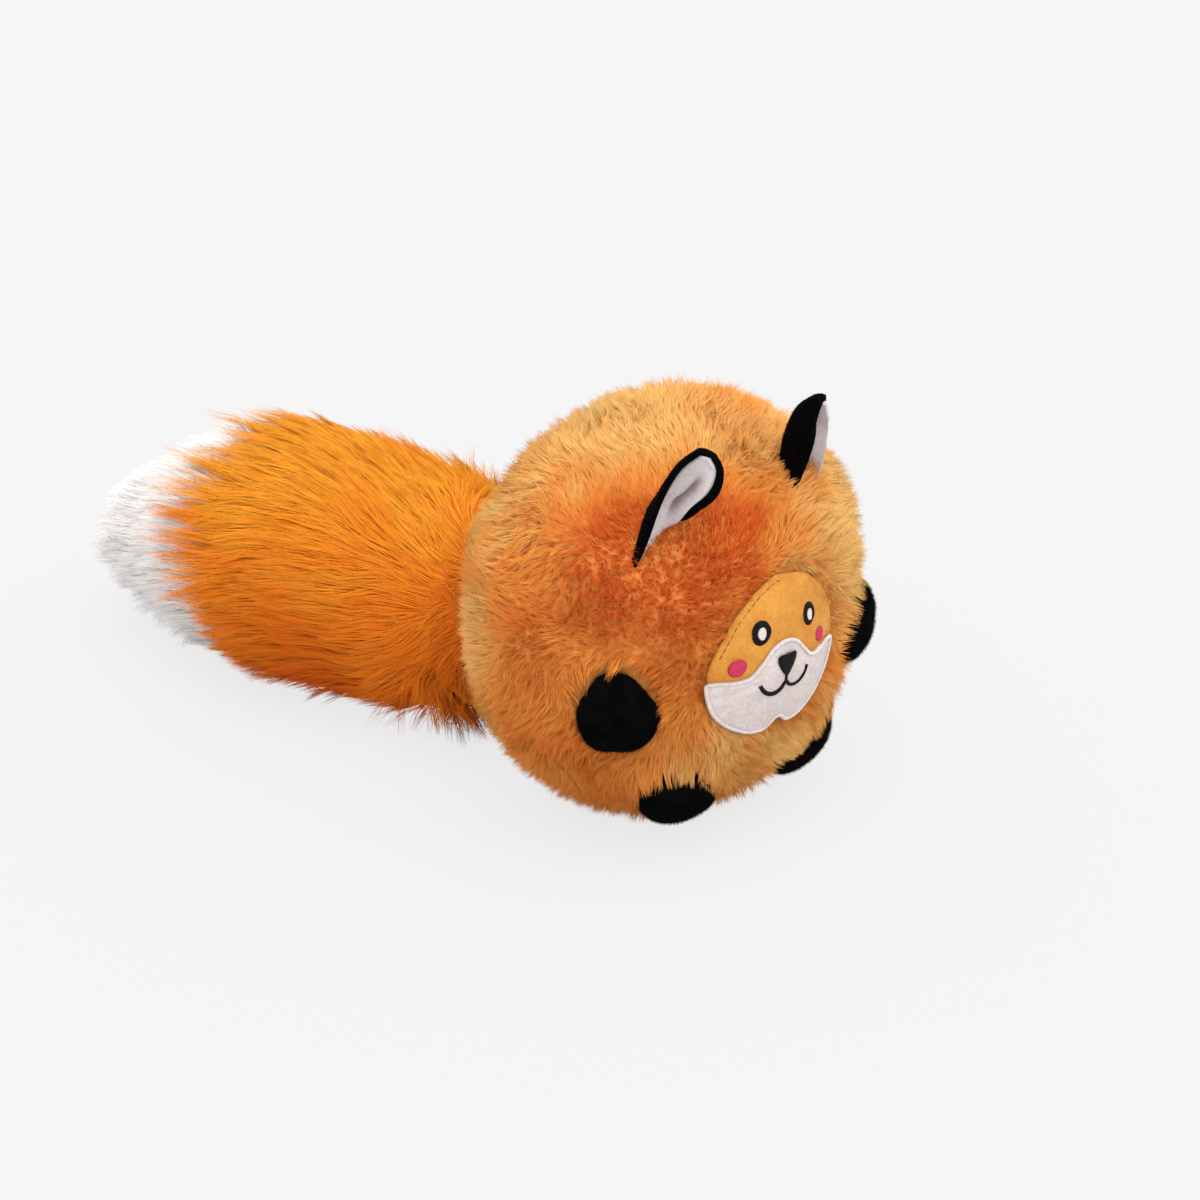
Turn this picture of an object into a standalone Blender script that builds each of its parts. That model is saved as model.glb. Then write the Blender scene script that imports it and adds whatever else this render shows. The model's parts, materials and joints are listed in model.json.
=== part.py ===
"""A ball-bodied plush fox, resting on its body and its tail.

The fox faces -Y and its tail runs back along +Y. Its own left is +X. The origin is on the floor,
under the middle of the body. All sizes are in metres. The cut pile of the plush is part of each
cover's thickness, laid flat.
"""

import math

import bmesh
import bpy
from mathutils import Matrix, Vector

# Clearance between two pieces that touch
GAP = 0.0003

# Body: a ball that is flattened from front to back
BODY_WIDTH = 0.110
BODY_DEPTH = 0.088
COVER_THICKNESS = 0.0075
REST_FLAT = 0.0005
SEAM_SETBACK = 0.004
BODY_SEGMENTS = 36
BODY_RINGS = 18
INNER_SEGMENTS = 24
INNER_RINGS = 12

# Squeaker, a flat bulb with its reed in front
BULB_RADIUS = 0.016
BULB_THICKNESS = 0.014
BULB_WALL = 0.0012
REED_RADIUS = 0.0032
REED_BORE_RADIUS = 0.0012
REED_DEPTH = 0.005
REED_FLANGE_RADIUS = 0.005
REED_FLANGE_THICKNESS = 0.0015

# Paws: flat eggs, each sunk into a socket in the pile and sewn on by a root
PAW_LENGTH = 0.022
PAW_WIDTH = 0.020
PAW_THICKNESS = 0.012
PAW_TAPER = 0.14
PAW_RISE = 0.001
PAW_ROOT_DEPTH = 0.007
PAW_ROOT_RADIUS = 0.004
PAW_COVER_THICKNESS = 0.0015
PAW_TURNING_HOLE_RADIUS = 0.0018
PAW_SWING_CLEARANCE = 0.002
# Place of each paw: degrees from straight ahead, degrees above the middle, degrees of turn
PAWS = {
    "arm_right": (-53.5, -7.5, 8.0),
    "arm_left": (53.5, -8.0, -8.0),
    "foot_right": (-36.5, -45.0, 62.0),
    "foot_left": (37.0, -44.5, -62.0),
}

# Ears: cupped leaves on a rolled base
EAR_HEIGHT = 0.0278
EAR_BASE_WIDTH = 0.0150
EAR_WIDTH = 0.0160
EAR_WIDEST_SHARE = 0.55
EAR_TWIST_SHARE = 0.85
EAR_CUP = 0.0060
EAR_BACK_THICKNESS = 0.0018
EAR_LINING_THICKNESS = 0.0010
EAR_LINING_MARGIN = 0.0018
EAR_LINING_CLEARANCE = 0.0005
EAR_TIP_SHARE = 0.985
EAR_ROLL_RADIUS = 0.0022
EAR_COLUMNS = 8
EAR_ROWS = 9
# Place of each ear: degrees from straight ahead, degrees above the middle, degrees that the base
# line climbs towards the crown, degrees of lean to the front, degrees of lean to the middle,
# degrees from straight ahead that its cup opens to
EARS = {
    "right": (-43.8, 41.5, 46.0, 23.0, 15.5, -54.0),
    "left": (41.5, 51.0, 46.0, 34.0, 9.0, 42.0),
}

# Tail: a fat brush on a round gathered root
TAIL_RADIUS = 0.036
TAIL_LENGTH = 0.151
TAIL_COVER_THICKNESS = 0.008
TAIL_HEADING = 33.0
TAIL_BEND_SHARE = 0.47
TAIL_SEAM_SHARE = 0.54
TAIL_TIP_RISE = 0.003
TAIL_ROOT_RADIUS = 0.010
TAIL_ROOT_SINK = 0.002
TAIL_ROOT_SHIFT = -0.004
TAIL_ROOT_DROP = 0.011
TAIL_WALL_AT_ROOT = 0.002
TAIL_ROOT_SEGMENTS = 24
TAIL_SEGMENTS = 20
TAIL_RINGS = 14
# Thickness of the brush along its length, as (share of the length, share of the full radius)
TAIL_SWELL = (
    (0.00, 0.40),
    (0.02, 0.50),
    (0.06, 0.70),
    (0.13, 0.90),
    (0.23, 1.00),
    (0.45, 1.00),
    (0.62, 0.90),
    (0.74, 0.78),
    (0.86, 0.64),
    (0.93, 0.52),
    (0.97, 0.36),
    (0.99, 0.21),
    (1.00, 0.00),
)
# Share of the length at which the brush first lies on the floor, and at which its tip lifts off
TAIL_LANDS = 0.26
TAIL_LIFTS = 0.60
# Share of the full radius at which the middle line stays over the floor when the tip closes
TAIL_TIP_SHARE = 0.52

# Face: how far each layer lies in front of the laid pile, and the outlines in (x, z)
FACE_SHIFT = 0.0018
FACE_DROP = 0.0012
FACE_RECESS = 0.0030
FACE_PANEL_THICKNESS = 0.0014
MUZZLE_THICKNESS = 0.0009
PATCH_THICKNESS = 0.0007
NOSE_THICKNESS = 0.0007
STITCH_RADIUS = 0.00045
MOUTH_RADIUS = 0.00038
STITCH_INSET = 0.0009
FACE_REACH = 0.064
# Right half of the face panel, from the chin's notch round to the top
PANEL_HALF = (
    (0.0, -0.0180),
    (0.0040, -0.0205),
    (0.0095, -0.0196),
    (0.0150, -0.0155),
    (0.0195, -0.0092),
    (0.0218, -0.0012),
    (0.0207, 0.0055),
    (0.0170, 0.0122),
    (0.0105, 0.0172),
    (0.0, 0.0192),
)
# Right half of the muzzle, from the chin's notch round to the top
MUZZLE_HALF = (
    (0.0, -0.0170),
    (0.0040, -0.0195),
    (0.0092, -0.0187),
    (0.0145, -0.0147),
    (0.0187, -0.0085),
    (0.0207, -0.0010),
    (0.0185, -0.0006),
    (0.0150, -0.0022),
    (0.0110, -0.0024),
    (0.0075, 0.0003),
    (0.0042, 0.0034),
    (0.0, 0.0048),
)
EYE_X = 0.0082
EYE_Z = 0.0084
EYE_SIZE = (0.0054, 0.0064)
EYE_HIGHLIGHT_SIZE = (0.0023, 0.0030)
CHEEK_X = 0.0141
CHEEK_Z = 0.0012
CHEEK_SIZE = (0.0060, 0.0052)
# Nose with its stem down to the mouth
NOSE_OUTLINE = (
    (0.0004, -0.0068),
    (0.0005, -0.0044),
    (0.0016, -0.0022),
    (0.0029, 0.0004),
    (0.0018, 0.0013),
    (0.0, 0.0010),
    (-0.0018, 0.0013),
    (-0.0029, 0.0004),
    (-0.0016, -0.0022),
    (-0.0005, -0.0044),
    (-0.0004, -0.0068),
)
# Left half of the mouth, from its middle to its corner
MOUTH_HALF = (
    (0.0, -0.0076),
    (0.0014, -0.0091),
    (0.0036, -0.0098),
    (0.0060, -0.0090),
    (0.0076, -0.0072),
    (0.0084, -0.0049),
)

# Steps between two points of an outline, and sides of the round stitches
OUTLINE_STEPS = 2
STITCH_BEVEL_RESOLUTION = 0

CENTRE = Vector((0.0, 0.0, BODY_WIDTH / 2 - REST_FLAT))
SEMI = Vector((BODY_WIDTH / 2, BODY_DEPTH / 2, BODY_WIDTH / 2))
# Longer than the whole fox, for cutters that take away one side of it
FAR = 2 * (BODY_WIDTH + BODY_DEPTH + TAIL_LENGTH)

COLOURS = {
    "orange_plush": ((0.76, 0.33, 0.08), 0.95),
    "tail_plush": ((0.90, 0.36, 0.03), 0.95),
    "white_plush": ((0.86, 0.85, 0.84), 0.95),
    "black_plush": ((0.010, 0.010, 0.012), 0.95),
    "ear_lining": ((0.62, 0.55, 0.57), 0.90),
    "face_felt": ((0.77, 0.37, 0.06), 0.90),
    "muzzle_felt": ((0.75, 0.68, 0.66), 0.90),
    "white_thread": ((0.83, 0.80, 0.78), 0.70),
    "black_thread": ((0.010, 0.010, 0.010), 0.60),
    "mustard_thread": ((0.60, 0.28, 0.05), 0.70),
    "pink_thread": ((0.62, 0.05, 0.13), 0.70),
    "fibre_fill": ((0.85, 0.85, 0.83), 1.00),
    "squeaker_plastic": ((0.80, 0.82, 0.84), 0.40),
}


def new_collection(name):
    collection = bpy.data.collections.new(name)
    bpy.context.scene.collection.children.link(collection)
    return collection


def clear_scene():
    for obj in list(bpy.data.objects):
        bpy.data.objects.remove(obj, do_unlink=True)


def material(name):
    found = bpy.data.materials.get(name)
    if found:
        return found
    colour, roughness = COLOURS[name]
    made = bpy.data.materials.new(name)
    made.use_nodes = True
    shader = made.node_tree.nodes["Principled BSDF"]
    shader.inputs["Base Color"].default_value = (*colour, 1.0)
    shader.inputs["Roughness"].default_value = roughness
    shader.inputs["Metallic"].default_value = 0.0
    made.diffuse_color = (*colour, 1.0)
    return made


def add_object(name, data, matrix=None, collection=None):
    obj = bpy.data.objects.new(name, data)
    obj.matrix_world = matrix or Matrix.Identity(4)
    (collection or PARTS).objects.link(obj)
    return obj


def finish(obj, material_name, joint=None):
    """Gives a piece its material, smooth shading and, if it moves, the empty on its joint."""
    obj.data.materials.append(material(material_name))
    if obj.type == "MESH":
        obj.data.shade_smooth()
        obj.data.set_sharp_from_angle(angle=math.radians(40))
    if joint:
        obj.parent = joint
        obj.matrix_parent_inverse = joint.matrix_world.inverted()
    return obj


def as_cutter(obj):
    obj.hide_render = True
    obj.display_type = "WIRE"
    return obj


def boolean(obj, other, operation):
    modifier = obj.modifiers.new(f"{operation.lower()} {other.name}", "BOOLEAN")
    modifier.operation = operation
    modifier.solver = "EXACT"
    modifier.object = other
    return obj


def mesh_from(bm, name):
    mesh = bpy.data.meshes.new(name)
    bmesh.ops.recalc_face_normals(bm, faces=bm.faces[:])
    bm.to_mesh(mesh)
    bm.free()
    return mesh


def ellipsoid_mesh(name, semi, segments, rings):
    """A closed ellipsoid with its poles on Y."""
    bm = bmesh.new()
    bmesh.ops.create_uvsphere(bm, u_segments=segments, v_segments=rings, radius=1.0)
    turn = Matrix.Rotation(math.radians(-90), 4, "X")
    bmesh.ops.transform(bm, matrix=turn, verts=bm.verts[:])
    bmesh.ops.scale(bm, vec=semi, verts=bm.verts[:])
    return mesh_from(bm, name)


def body_ellipsoid(name, offset, collection=None):
    """The body's surface, moved out by offset. The outer ones share their facets, and so do the
    coarser ones inside the cover."""
    semi = SEMI + Vector((offset, offset, offset))
    inside = offset <= -COVER_THICKNESS
    segments = INNER_SEGMENTS if inside else BODY_SEGMENTS
    rings = INNER_RINGS if inside else BODY_RINGS
    mesh = ellipsoid_mesh(name, semi, segments, rings)
    return add_object(name, mesh, Matrix.Translation(CENTRE), collection)


def body_cutter(offset):
    """One shared cutter for each offset of the body's surface."""
    name = f"cut_body_{round(offset * 1e5):+d}"
    found = bpy.data.objects.get(name)
    return found or as_cutter(body_ellipsoid(name, offset, CUTTERS))


def half_space(name, place, direction):
    """A cutter that takes away all on the side of place that direction points to."""
    bm = bmesh.new()
    bmesh.ops.create_cube(bm, size=2 * FAR)
    bmesh.ops.translate(bm, vec=(0, 0, FAR), verts=bm.verts[:])
    turn = Vector(direction).to_track_quat("Z", "Y").to_matrix().to_4x4()
    matrix = Matrix.Translation(Vector(place)) @ turn
    return as_cutter(add_object(name, mesh_from(bm, name), matrix, CUTTERS))


def ball_cutter(name, place, radius, segments):
    mesh = ellipsoid_mesh(name, Vector((radius, radius, radius)), segments, segments // 2)
    return as_cutter(add_object(name, mesh, Matrix.Translation(place), CUTTERS))


def cylinder_mesh(name, radius, low, high, segments=24):
    """A closed cylinder along Z, from low to high."""
    bm = bmesh.new()
    bmesh.ops.create_cone(
        bm,
        cap_ends=True,
        segments=segments,
        radius1=radius,
        radius2=radius,
        depth=high - low,
    )
    bmesh.ops.translate(bm, vec=(0, 0, (low + high) / 2), verts=bm.verts[:])
    return mesh_from(bm, name)


def direction_from(azimuth, elevation):
    """Unit direction: azimuth turns from straight ahead (-Y) towards the fox's left (+X)."""
    a = math.radians(azimuth)
    e = math.radians(elevation)
    return Vector((math.sin(a) * math.cos(e), -math.cos(a) * math.cos(e), math.sin(e)))


def body_frame(azimuth, elevation, rise=0.0):
    """A frame on the body's surface: X level, Y up along the surface, Z straight out of it."""
    d = direction_from(azimuth, elevation)
    reach = 1 / math.sqrt(sum((d[i] / SEMI[i]) ** 2 for i in range(3)))
    point = d * reach
    out = Vector([point[i] / SEMI[i] ** 2 for i in range(3)]).normalized()
    level = Vector((0, 0, 1)).cross(out).normalized()
    up = out.cross(level)
    turn = Matrix((level, up, out)).transposed().to_4x4()
    return Matrix.Translation(CENTRE + point + out * rise) @ turn


def joint_empty(name, place, axis, parent=None):
    """An empty on a joint, with its own Z along the joint's axis."""
    empty = bpy.data.objects.new(name, None)
    empty.empty_display_size = 0.01
    turn = Vector(axis).to_track_quat("Z", "Y").to_matrix().to_4x4()
    empty.matrix_world = Matrix.Translation(place) @ turn
    PARTS.objects.link(empty)
    if parent:
        empty.parent = parent
        empty.matrix_parent_inverse = parent.matrix_world.inverted()
    bpy.context.view_layer.update()
    return empty


def smooth_step(value):
    t = min(max(value, 0.0), 1.0)
    return t * t * (3 - 2 * t)


def mirrored_loop(half):
    """A whole outline from its half at x >= 0, whose first and last points lie on x = 0."""
    return list(half) + [(-x, z) for x, z in reversed(half[1:-1])]


def ellipse_loop(x, z, size, count=8):
    turns = [2 * math.pi * i / count for i in range(count)]
    return [(x + math.cos(t) * size[0] / 2, z + math.sin(t) * size[1] / 2) for t in turns]


def outline_curve(name, loop, grow=0.0):
    """A flat curve object in X and Y, through the points of a loop in (x, z)."""
    curve = bpy.data.curves.new(name, "CURVE")
    curve.dimensions = "2D"
    curve.fill_mode = "BOTH"
    curve.resolution_u = OUTLINE_STEPS
    curve.extrude = FACE_REACH / 2
    curve.offset = grow
    spline = curve.splines.new("BEZIER")
    spline.bezier_points.add(len(loop) - 1)
    for point, (x, z) in zip(spline.bezier_points, loop):
        point.co = (x, z, 0)
        point.handle_left_type = "AUTO"
        point.handle_right_type = "AUTO"
    spline.use_cyclic_u = True
    return curve


def outline_mesh(name, loop, grow=0.0):
    """A closed prism of a face outline, standing on the middle of the body and running forward."""
    guide = add_object(f"guide_{name}", outline_curve(name, loop, grow), None, CUTTERS)
    bpy.context.view_layer.update()
    graph = bpy.context.evaluated_depsgraph_get()
    flat = bpy.data.meshes.new_from_object(guide.evaluated_get(graph))
    bpy.data.objects.remove(guide, do_unlink=True)
    bm = bmesh.new()
    bm.from_mesh(flat)
    bmesh.ops.remove_doubles(bm, verts=bm.verts[:], dist=1e-6)
    bmesh.ops.translate(bm, vec=(0, 0, FACE_REACH / 2), verts=bm.verts[:])
    stand = Matrix.Rotation(math.radians(90), 4, "X")
    place = Matrix.Translation(CENTRE + Vector((FACE_SHIFT, 0, -FACE_DROP)))
    bmesh.ops.transform(bm, matrix=place @ stand, verts=bm.verts[:])
    bpy.data.meshes.remove(flat)
    return mesh_from(bm, name)


def face_layer(name, loop, low, thickness, material_name, hole=None):
    """A thin patch that follows the body's front, from low to low + thickness before the pile."""
    obj = add_object(name, outline_mesh(name, loop))
    boolean(obj, body_cutter(low + thickness), "INTERSECT")
    boolean(obj, body_cutter(low), "DIFFERENCE")
    if hole:
        cutter = outline_mesh(f"cut_{name}", hole)
        cutter = as_cutter(add_object(f"cut_{name}", cutter, None, CUTTERS))
        boolean(obj, cutter, "DIFFERENCE")
    return finish(obj, material_name)


def on_face(x, z, offset):
    """The point on the body's front, moved out by offset, that lies at (x, z) of the face."""
    semi = SEMI + Vector((offset, offset, offset))
    px = x + FACE_SHIFT
    pz = z - FACE_DROP
    depth = semi.y * math.sqrt(1 - (px / semi.x) ** 2 - (pz / semi.z) ** 2)
    return CENTRE + Vector((px, -depth, pz))


def catmull_rom(points, steps, closed):
    """More points on a smooth curve through the given ones."""
    count = len(points)
    spans = count if closed else count - 1
    result = []
    for i in range(spans):
        if closed:
            a, b, c, d = (points[(i + k) % count] for k in (-1, 0, 1, 2))
        else:
            a, b, c, d = (points[min(max(i + k, 0), count - 1)] for k in (-1, 0, 1, 2))
        for step in range(steps):
            t = step / steps
            blend = (
                (-t + 2 * t**2 - t**3) / 2,
                (2 - 5 * t**2 + 3 * t**3) / 2,
                (t + 4 * t**2 - 3 * t**3) / 2,
                (-(t**2) + t**3) / 2,
            )
            near = (a, b, c, d)
            result.append(tuple(sum(w * p[k] for w, p in zip(blend, near)) for k in (0, 1)))
    if not closed:
        result.append(tuple(points[-1]))
    return result


def inset_loop(loop, distance):
    """A loop moved towards its inside. The loop runs against the clock in (x, z)."""
    moved = []
    for i, (x, z) in enumerate(loop):
        before = Vector(loop[i - 1])
        after = Vector(loop[(i + 1) % len(loop)])
        along = (after - before).normalized()
        moved.append((x - along.y * distance, z + along.x * distance))
    return moved


def stitch(name, points, closed, radius, surface, material_name):
    """A round thread that lies on the layer whose top is at surface."""
    curve = bpy.data.curves.new(name, "CURVE")
    curve.dimensions = "3D"
    curve.bevel_depth = radius
    curve.bevel_resolution = STITCH_BEVEL_RESOLUTION
    curve.use_fill_caps = not closed
    spline = curve.splines.new("POLY")
    spline.points.add(len(points) - 1)
    for point, (x, z) in zip(spline.points, points):
        point.co = (*on_face(x, z, surface + GAP + radius), 1.0)
    spline.use_cyclic_u = closed
    return finish(add_object(name, curve), material_name)


def build_body():
    seam_front = half_space("cut_rear_half", (0, SEAM_SETBACK - GAP / 2, 0), (0, 1, 0))
    seam_rear = half_space("cut_front_half", (0, SEAM_SETBACK + GAP / 2, 0), (0, -1, 0))
    floor = half_space("cut_floor", (0, 0, 0), (0, 0, -1))
    inside = body_cutter(-COVER_THICKNESS)
    front = body_ellipsoid("body_cover_front", 0.0)
    rear = body_ellipsoid("body_cover_rear", 0.0)
    for cover, other_half in ((front, seam_front), (rear, seam_rear)):
        boolean(cover, inside, "DIFFERENCE")
        boolean(cover, other_half, "DIFFERENCE")
        boolean(cover, floor, "DIFFERENCE")
        finish(cover, "orange_plush")
    build_fill(seam_front, seam_rear)
    build_squeaker()
    return front, rear


def squeaker_stand():
    """The middle of the squeaker, with Z straight ahead."""
    place = CENTRE + Vector((0, SEAM_SETBACK, 0))
    return Matrix.Translation(place) @ Matrix.Rotation(math.radians(90), 4, "X")


def build_fill(seam_front, seam_rear):
    """The fibre fill in two halves, which close round the squeaker."""
    stand = squeaker_stand()
    half = BULB_THICKNESS / 2 + GAP
    room = cylinder_mesh("cut_bulb_room", BULB_RADIUS + GAP, -half, half)
    room = as_cutter(add_object("cut_bulb_room", room, stand, CUTTERS))
    front_of_flange = BULB_THICKNESS / 2 + GAP + REED_FLANGE_THICKNESS + GAP
    flange_room = cylinder_mesh("cut_flange_room", REED_FLANGE_RADIUS + GAP, 0, front_of_flange)
    flange_room = as_cutter(add_object("cut_flange_room", flange_room, stand, CUTTERS))
    for name, other_half in (("body_fill_front", seam_front), ("body_fill_rear", seam_rear)):
        fill = body_ellipsoid(name, -COVER_THICKNESS - GAP)
        boolean(fill, other_half, "DIFFERENCE")
        boolean(fill, room, "DIFFERENCE")
        if name == "body_fill_front":
            boolean(fill, flange_room, "DIFFERENCE")
        finish(fill, "fibre_fill")


def turned(name, profile, matrix, material_name, steps=20):
    """A turned piece. The profile is a closed loop of (radius, height) along the matrix's Z."""
    bm = bmesh.new()
    verts = [bm.verts.new((radius, 0, height)) for radius, height in profile]
    for a, b in zip(verts, verts[1:] + verts[:1]):
        bm.edges.new((a, b))
    mesh = bpy.data.meshes.new(name)
    bm.to_mesh(mesh)
    bm.free()
    obj = add_object(name, mesh, matrix)
    screw = obj.modifiers.new("turn", "SCREW")
    screw.steps = steps
    screw.render_steps = steps
    return finish(obj, material_name)


def build_squeaker():
    stand = squeaker_stand()
    half = BULB_THICKNESS / 2
    round_edge = BULB_THICKNESS / 4
    hole = REED_RADIUS + GAP
    inner = BULB_RADIUS - BULB_WALL
    # Outer side from the reed's hole round to the back, then the inner side
    bulb = [
        (hole, half),
        (BULB_RADIUS - round_edge, half),
        (BULB_RADIUS, half - round_edge),
        (BULB_RADIUS, round_edge - half),
        (BULB_RADIUS - round_edge, -half),
        (BULB_WALL, -half),
        (BULB_WALL, BULB_WALL - half),
        (inner - round_edge, BULB_WALL - half),
        (inner, round_edge - half),
        (inner, half - round_edge),
        (inner - round_edge, half - BULB_WALL),
        (hole, half - BULB_WALL),
    ]
    turned("squeaker_bulb", bulb, stand, "squeaker_plastic")
    seat = half + GAP
    reed = [
        (REED_BORE_RADIUS, seat + REED_FLANGE_THICKNESS),
        (REED_FLANGE_RADIUS, seat + REED_FLANGE_THICKNESS),
        (REED_FLANGE_RADIUS, seat),
        (REED_RADIUS, seat),
        (REED_RADIUS, seat - REED_DEPTH),
        (REED_BORE_RADIUS, seat - REED_DEPTH),
    ]
    turned("squeaker_reed", reed, stand, "squeaker_plastic", steps=16)


def egg_mesh(name, semi, segments, rings):
    """A flat egg: Y along its length, narrower towards +Y, and Z through its thickness."""
    bm = bmesh.new()
    bmesh.ops.create_uvsphere(bm, u_segments=segments, v_segments=rings, radius=1.0)
    bmesh.ops.transform(bm, matrix=Matrix.Rotation(math.radians(-90), 4, "X"), verts=bm.verts[:])
    for vert in bm.verts:
        vert.co.x *= 1 - PAW_TAPER * vert.co.y
    bmesh.ops.scale(bm, vec=semi, verts=bm.verts[:])
    return mesh_from(bm, name)


def build_paw(name, azimuth, elevation, turn, cover):
    """A paw on its root, in the socket that it gets in the body's cover."""
    level = body_frame(azimuth, elevation, PAW_RISE)
    place = level @ Matrix.Rotation(math.radians(turn), 4, "Z")
    joint = joint_empty(f"joint_{name}", place.translation, level.col[0].to_3d())
    semi = Vector((PAW_WIDTH, PAW_LENGTH, PAW_THICKNESS)) / 2
    inner = semi - Vector((1, 1, 1)) * PAW_COVER_THICKNESS
    fill = inner - Vector((GAP, GAP, GAP))

    root = ball_cutter(
        f"root_{name}",
        place @ Vector((0, 0, PAW_ROOT_RADIUS - PAW_ROOT_DEPTH)),
        PAW_ROOT_RADIUS,
        segments=16,
    )
    hollow = add_object(f"cut_{name}_hollow", egg_mesh(name, inner, 12, 6), place, CUTTERS)
    as_cutter(hollow)
    hole = cylinder_mesh(name, PAW_TURNING_HOLE_RADIUS, -2 * PAW_ROOT_DEPTH, 0, segments=10)
    hole = as_cutter(add_object(f"cut_{name}_hole", hole, place, CUTTERS))
    skin = add_object(f"{name}_cover", egg_mesh(name, semi, 16, 8), place)
    boolean(skin, root, "UNION")
    boolean(skin, hollow, "DIFFERENCE")
    boolean(skin, hole, "DIFFERENCE")
    finish(skin, "black_plush", joint)
    stuffing = add_object(f"{name}_fill", egg_mesh(name, fill, 12, 6), place)
    finish(stuffing, "fibre_fill", joint)

    room = Vector(
        (
            semi.x * (1 + PAW_TAPER) + PAW_SWING_CLEARANCE,
            semi.y + PAW_SWING_CLEARANCE,
            PAW_ROOT_DEPTH + GAP,
        )
    )
    socket = ellipsoid_mesh(name, room, 16, 8)
    socket = as_cutter(add_object(f"cut_{name}_socket", socket, place, CUTTERS))
    boolean(cover, socket, "DIFFERENCE")


def ear_axes(azimuth, elevation, climb, forward, inward, opens):
    """The ear's place, its base line, its own up direction, and which way its cup opens."""
    side = math.copysign(1.0, azimuth)
    frame = body_frame(azimuth, elevation, EAR_ROLL_RADIUS + GAP)
    c = math.radians(climb)
    base = frame.to_3x3() @ Vector((-side * math.cos(c), math.sin(c), 0))
    f = math.radians(forward)
    i = math.radians(inward)
    up = Vector((-side * math.sin(i), -math.sin(f) * math.cos(i), math.cos(f) * math.cos(i)))
    facing = direction_from(opens, 0)
    facing = (facing - up * facing.dot(up)).normalized()
    return frame.translation, base.normalized(), up, facing, side


def ear_half_width(share):
    """Half of the ear's width at a share of its height: it swells, then rounds off to the tip."""
    if share < EAR_WIDEST_SHARE:
        swell = smooth_step(share / EAR_WIDEST_SHARE)
        return (EAR_BASE_WIDTH + (EAR_WIDTH - EAR_BASE_WIDTH) * swell) / 2
    past = (share - EAR_WIDEST_SHARE) / (1 - EAR_WIDEST_SHARE)
    return EAR_WIDTH / 2 * math.sqrt(max(1 - past**2, 0.0))


def ear_point(placing, across, share):
    """A point of the cupped leaf: -1 to 1 across it, at a share of its height."""
    _, base, up, facing, side = placing
    turn = smooth_step(share / EAR_TWIST_SHARE)
    wide = base.lerp(facing.cross(up) * side, turn).normalized()
    deep = (up.cross(base).normalized() * side).lerp(facing, turn).normalized()
    half = ear_half_width(share)
    cup = EAR_CUP * turn * half / (EAR_WIDTH / 2)
    round_tip = half / 2 * (1 - across**2) * share**4
    return (
        wide * across * half
        + up * (EAR_HEIGHT * share + round_tip)
        + deep * cup * across**2
    )


def ear_leaf(name, placing, low, high, margin):
    """The part of the leaf between two shares of its height, with a margin at its sides."""
    bm = bmesh.new()
    bmesh.ops.create_grid(bm, x_segments=EAR_COLUMNS, y_segments=EAR_ROWS, size=1.0)
    first = math.asin(low)
    last = math.asin(high)
    for vert in bm.verts:
        # Rows lie closer together where the tip rounds off
        share = math.sin(first + (last - first) * (vert.co.y + 1) / 2)
        reach = 1 - margin / ear_half_width(share)
        vert.co = ear_point(placing, vert.co.x * reach, share)
    mesh = bpy.data.meshes.new(name)
    bm.to_mesh(mesh)
    bm.free()
    return mesh


def solid_leaf(name, placing, leaf, start, thickness, collection=None):
    """A leaf given thickness, from start before the middle of the ear's back."""
    obj = add_object(name, leaf, None, collection)
    obj.location = placing[0]
    side = placing[-1]
    solid = obj.modifiers.new("thickness", "SOLIDIFY")
    solid.thickness = thickness
    solid.offset = -side * (1 + 2 * start / thickness)
    solid.use_even_offset = True
    return obj


def build_ear(side_name, *ear_place):
    placing = ear_axes(*ear_place)
    place, base = placing[:2]
    joint = joint_empty(f"joint_ear_{side_name}", place, base)
    turn = base.to_track_quat("Z", "Y").to_matrix().to_4x4()
    half = EAR_BASE_WIDTH / 2
    roll = cylinder_mesh(f"ear_back_{side_name}", EAR_ROLL_RADIUS, -half, half, segments=14)
    roll.transform(turn)
    leaf = ear_leaf(f"leaf_{side_name}", placing, 0.0, EAR_TIP_SHARE, 0.0)
    leaf = solid_leaf(
        leaf.name, placing, leaf, -EAR_BACK_THICKNESS / 2, EAR_BACK_THICKNESS, CUTTERS
    )
    as_cutter(leaf)
    back = add_object(f"ear_back_{side_name}", roll, Matrix.Translation(place))
    boolean(back, leaf, "UNION")
    finish(back, "black_plush", joint)
    name = f"ear_lining_{side_name}"
    start = EAR_BACK_THICKNESS / 2 + EAR_LINING_CLEARANCE
    low = (EAR_ROLL_RADIUS + GAP + start + EAR_LINING_THICKNESS) / EAR_HEIGHT
    high = 1 - EAR_LINING_MARGIN / EAR_HEIGHT
    inner = ear_leaf(name, placing, low, high, EAR_LINING_MARGIN)
    lining = solid_leaf(name, placing, inner, start, EAR_LINING_THICKNESS)
    finish(lining, "ear_lining", joint)


def tail_root_place():
    """The middle of the tail's round root, just behind the body."""
    x = TAIL_ROOT_SHIFT
    z = -TAIL_ROOT_DROP
    y = SEMI.y * math.sqrt(1 - (x / SEMI.x) ** 2 - (z / SEMI.z) ** 2)
    out = Vector((x / SEMI.x**2, y / SEMI.y**2, z / SEMI.z**2)).normalized()
    return CENTRE + Vector((x, y, z)) + out * (TAIL_ROOT_RADIUS - TAIL_ROOT_SINK)


def tail_swell_at(share):
    for (low, a), (high, b) in zip(TAIL_SWELL, TAIL_SWELL[1:]):
        if share <= high:
            return a + (b - a) * (share - low) / (high - low)
    return 0.0


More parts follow.
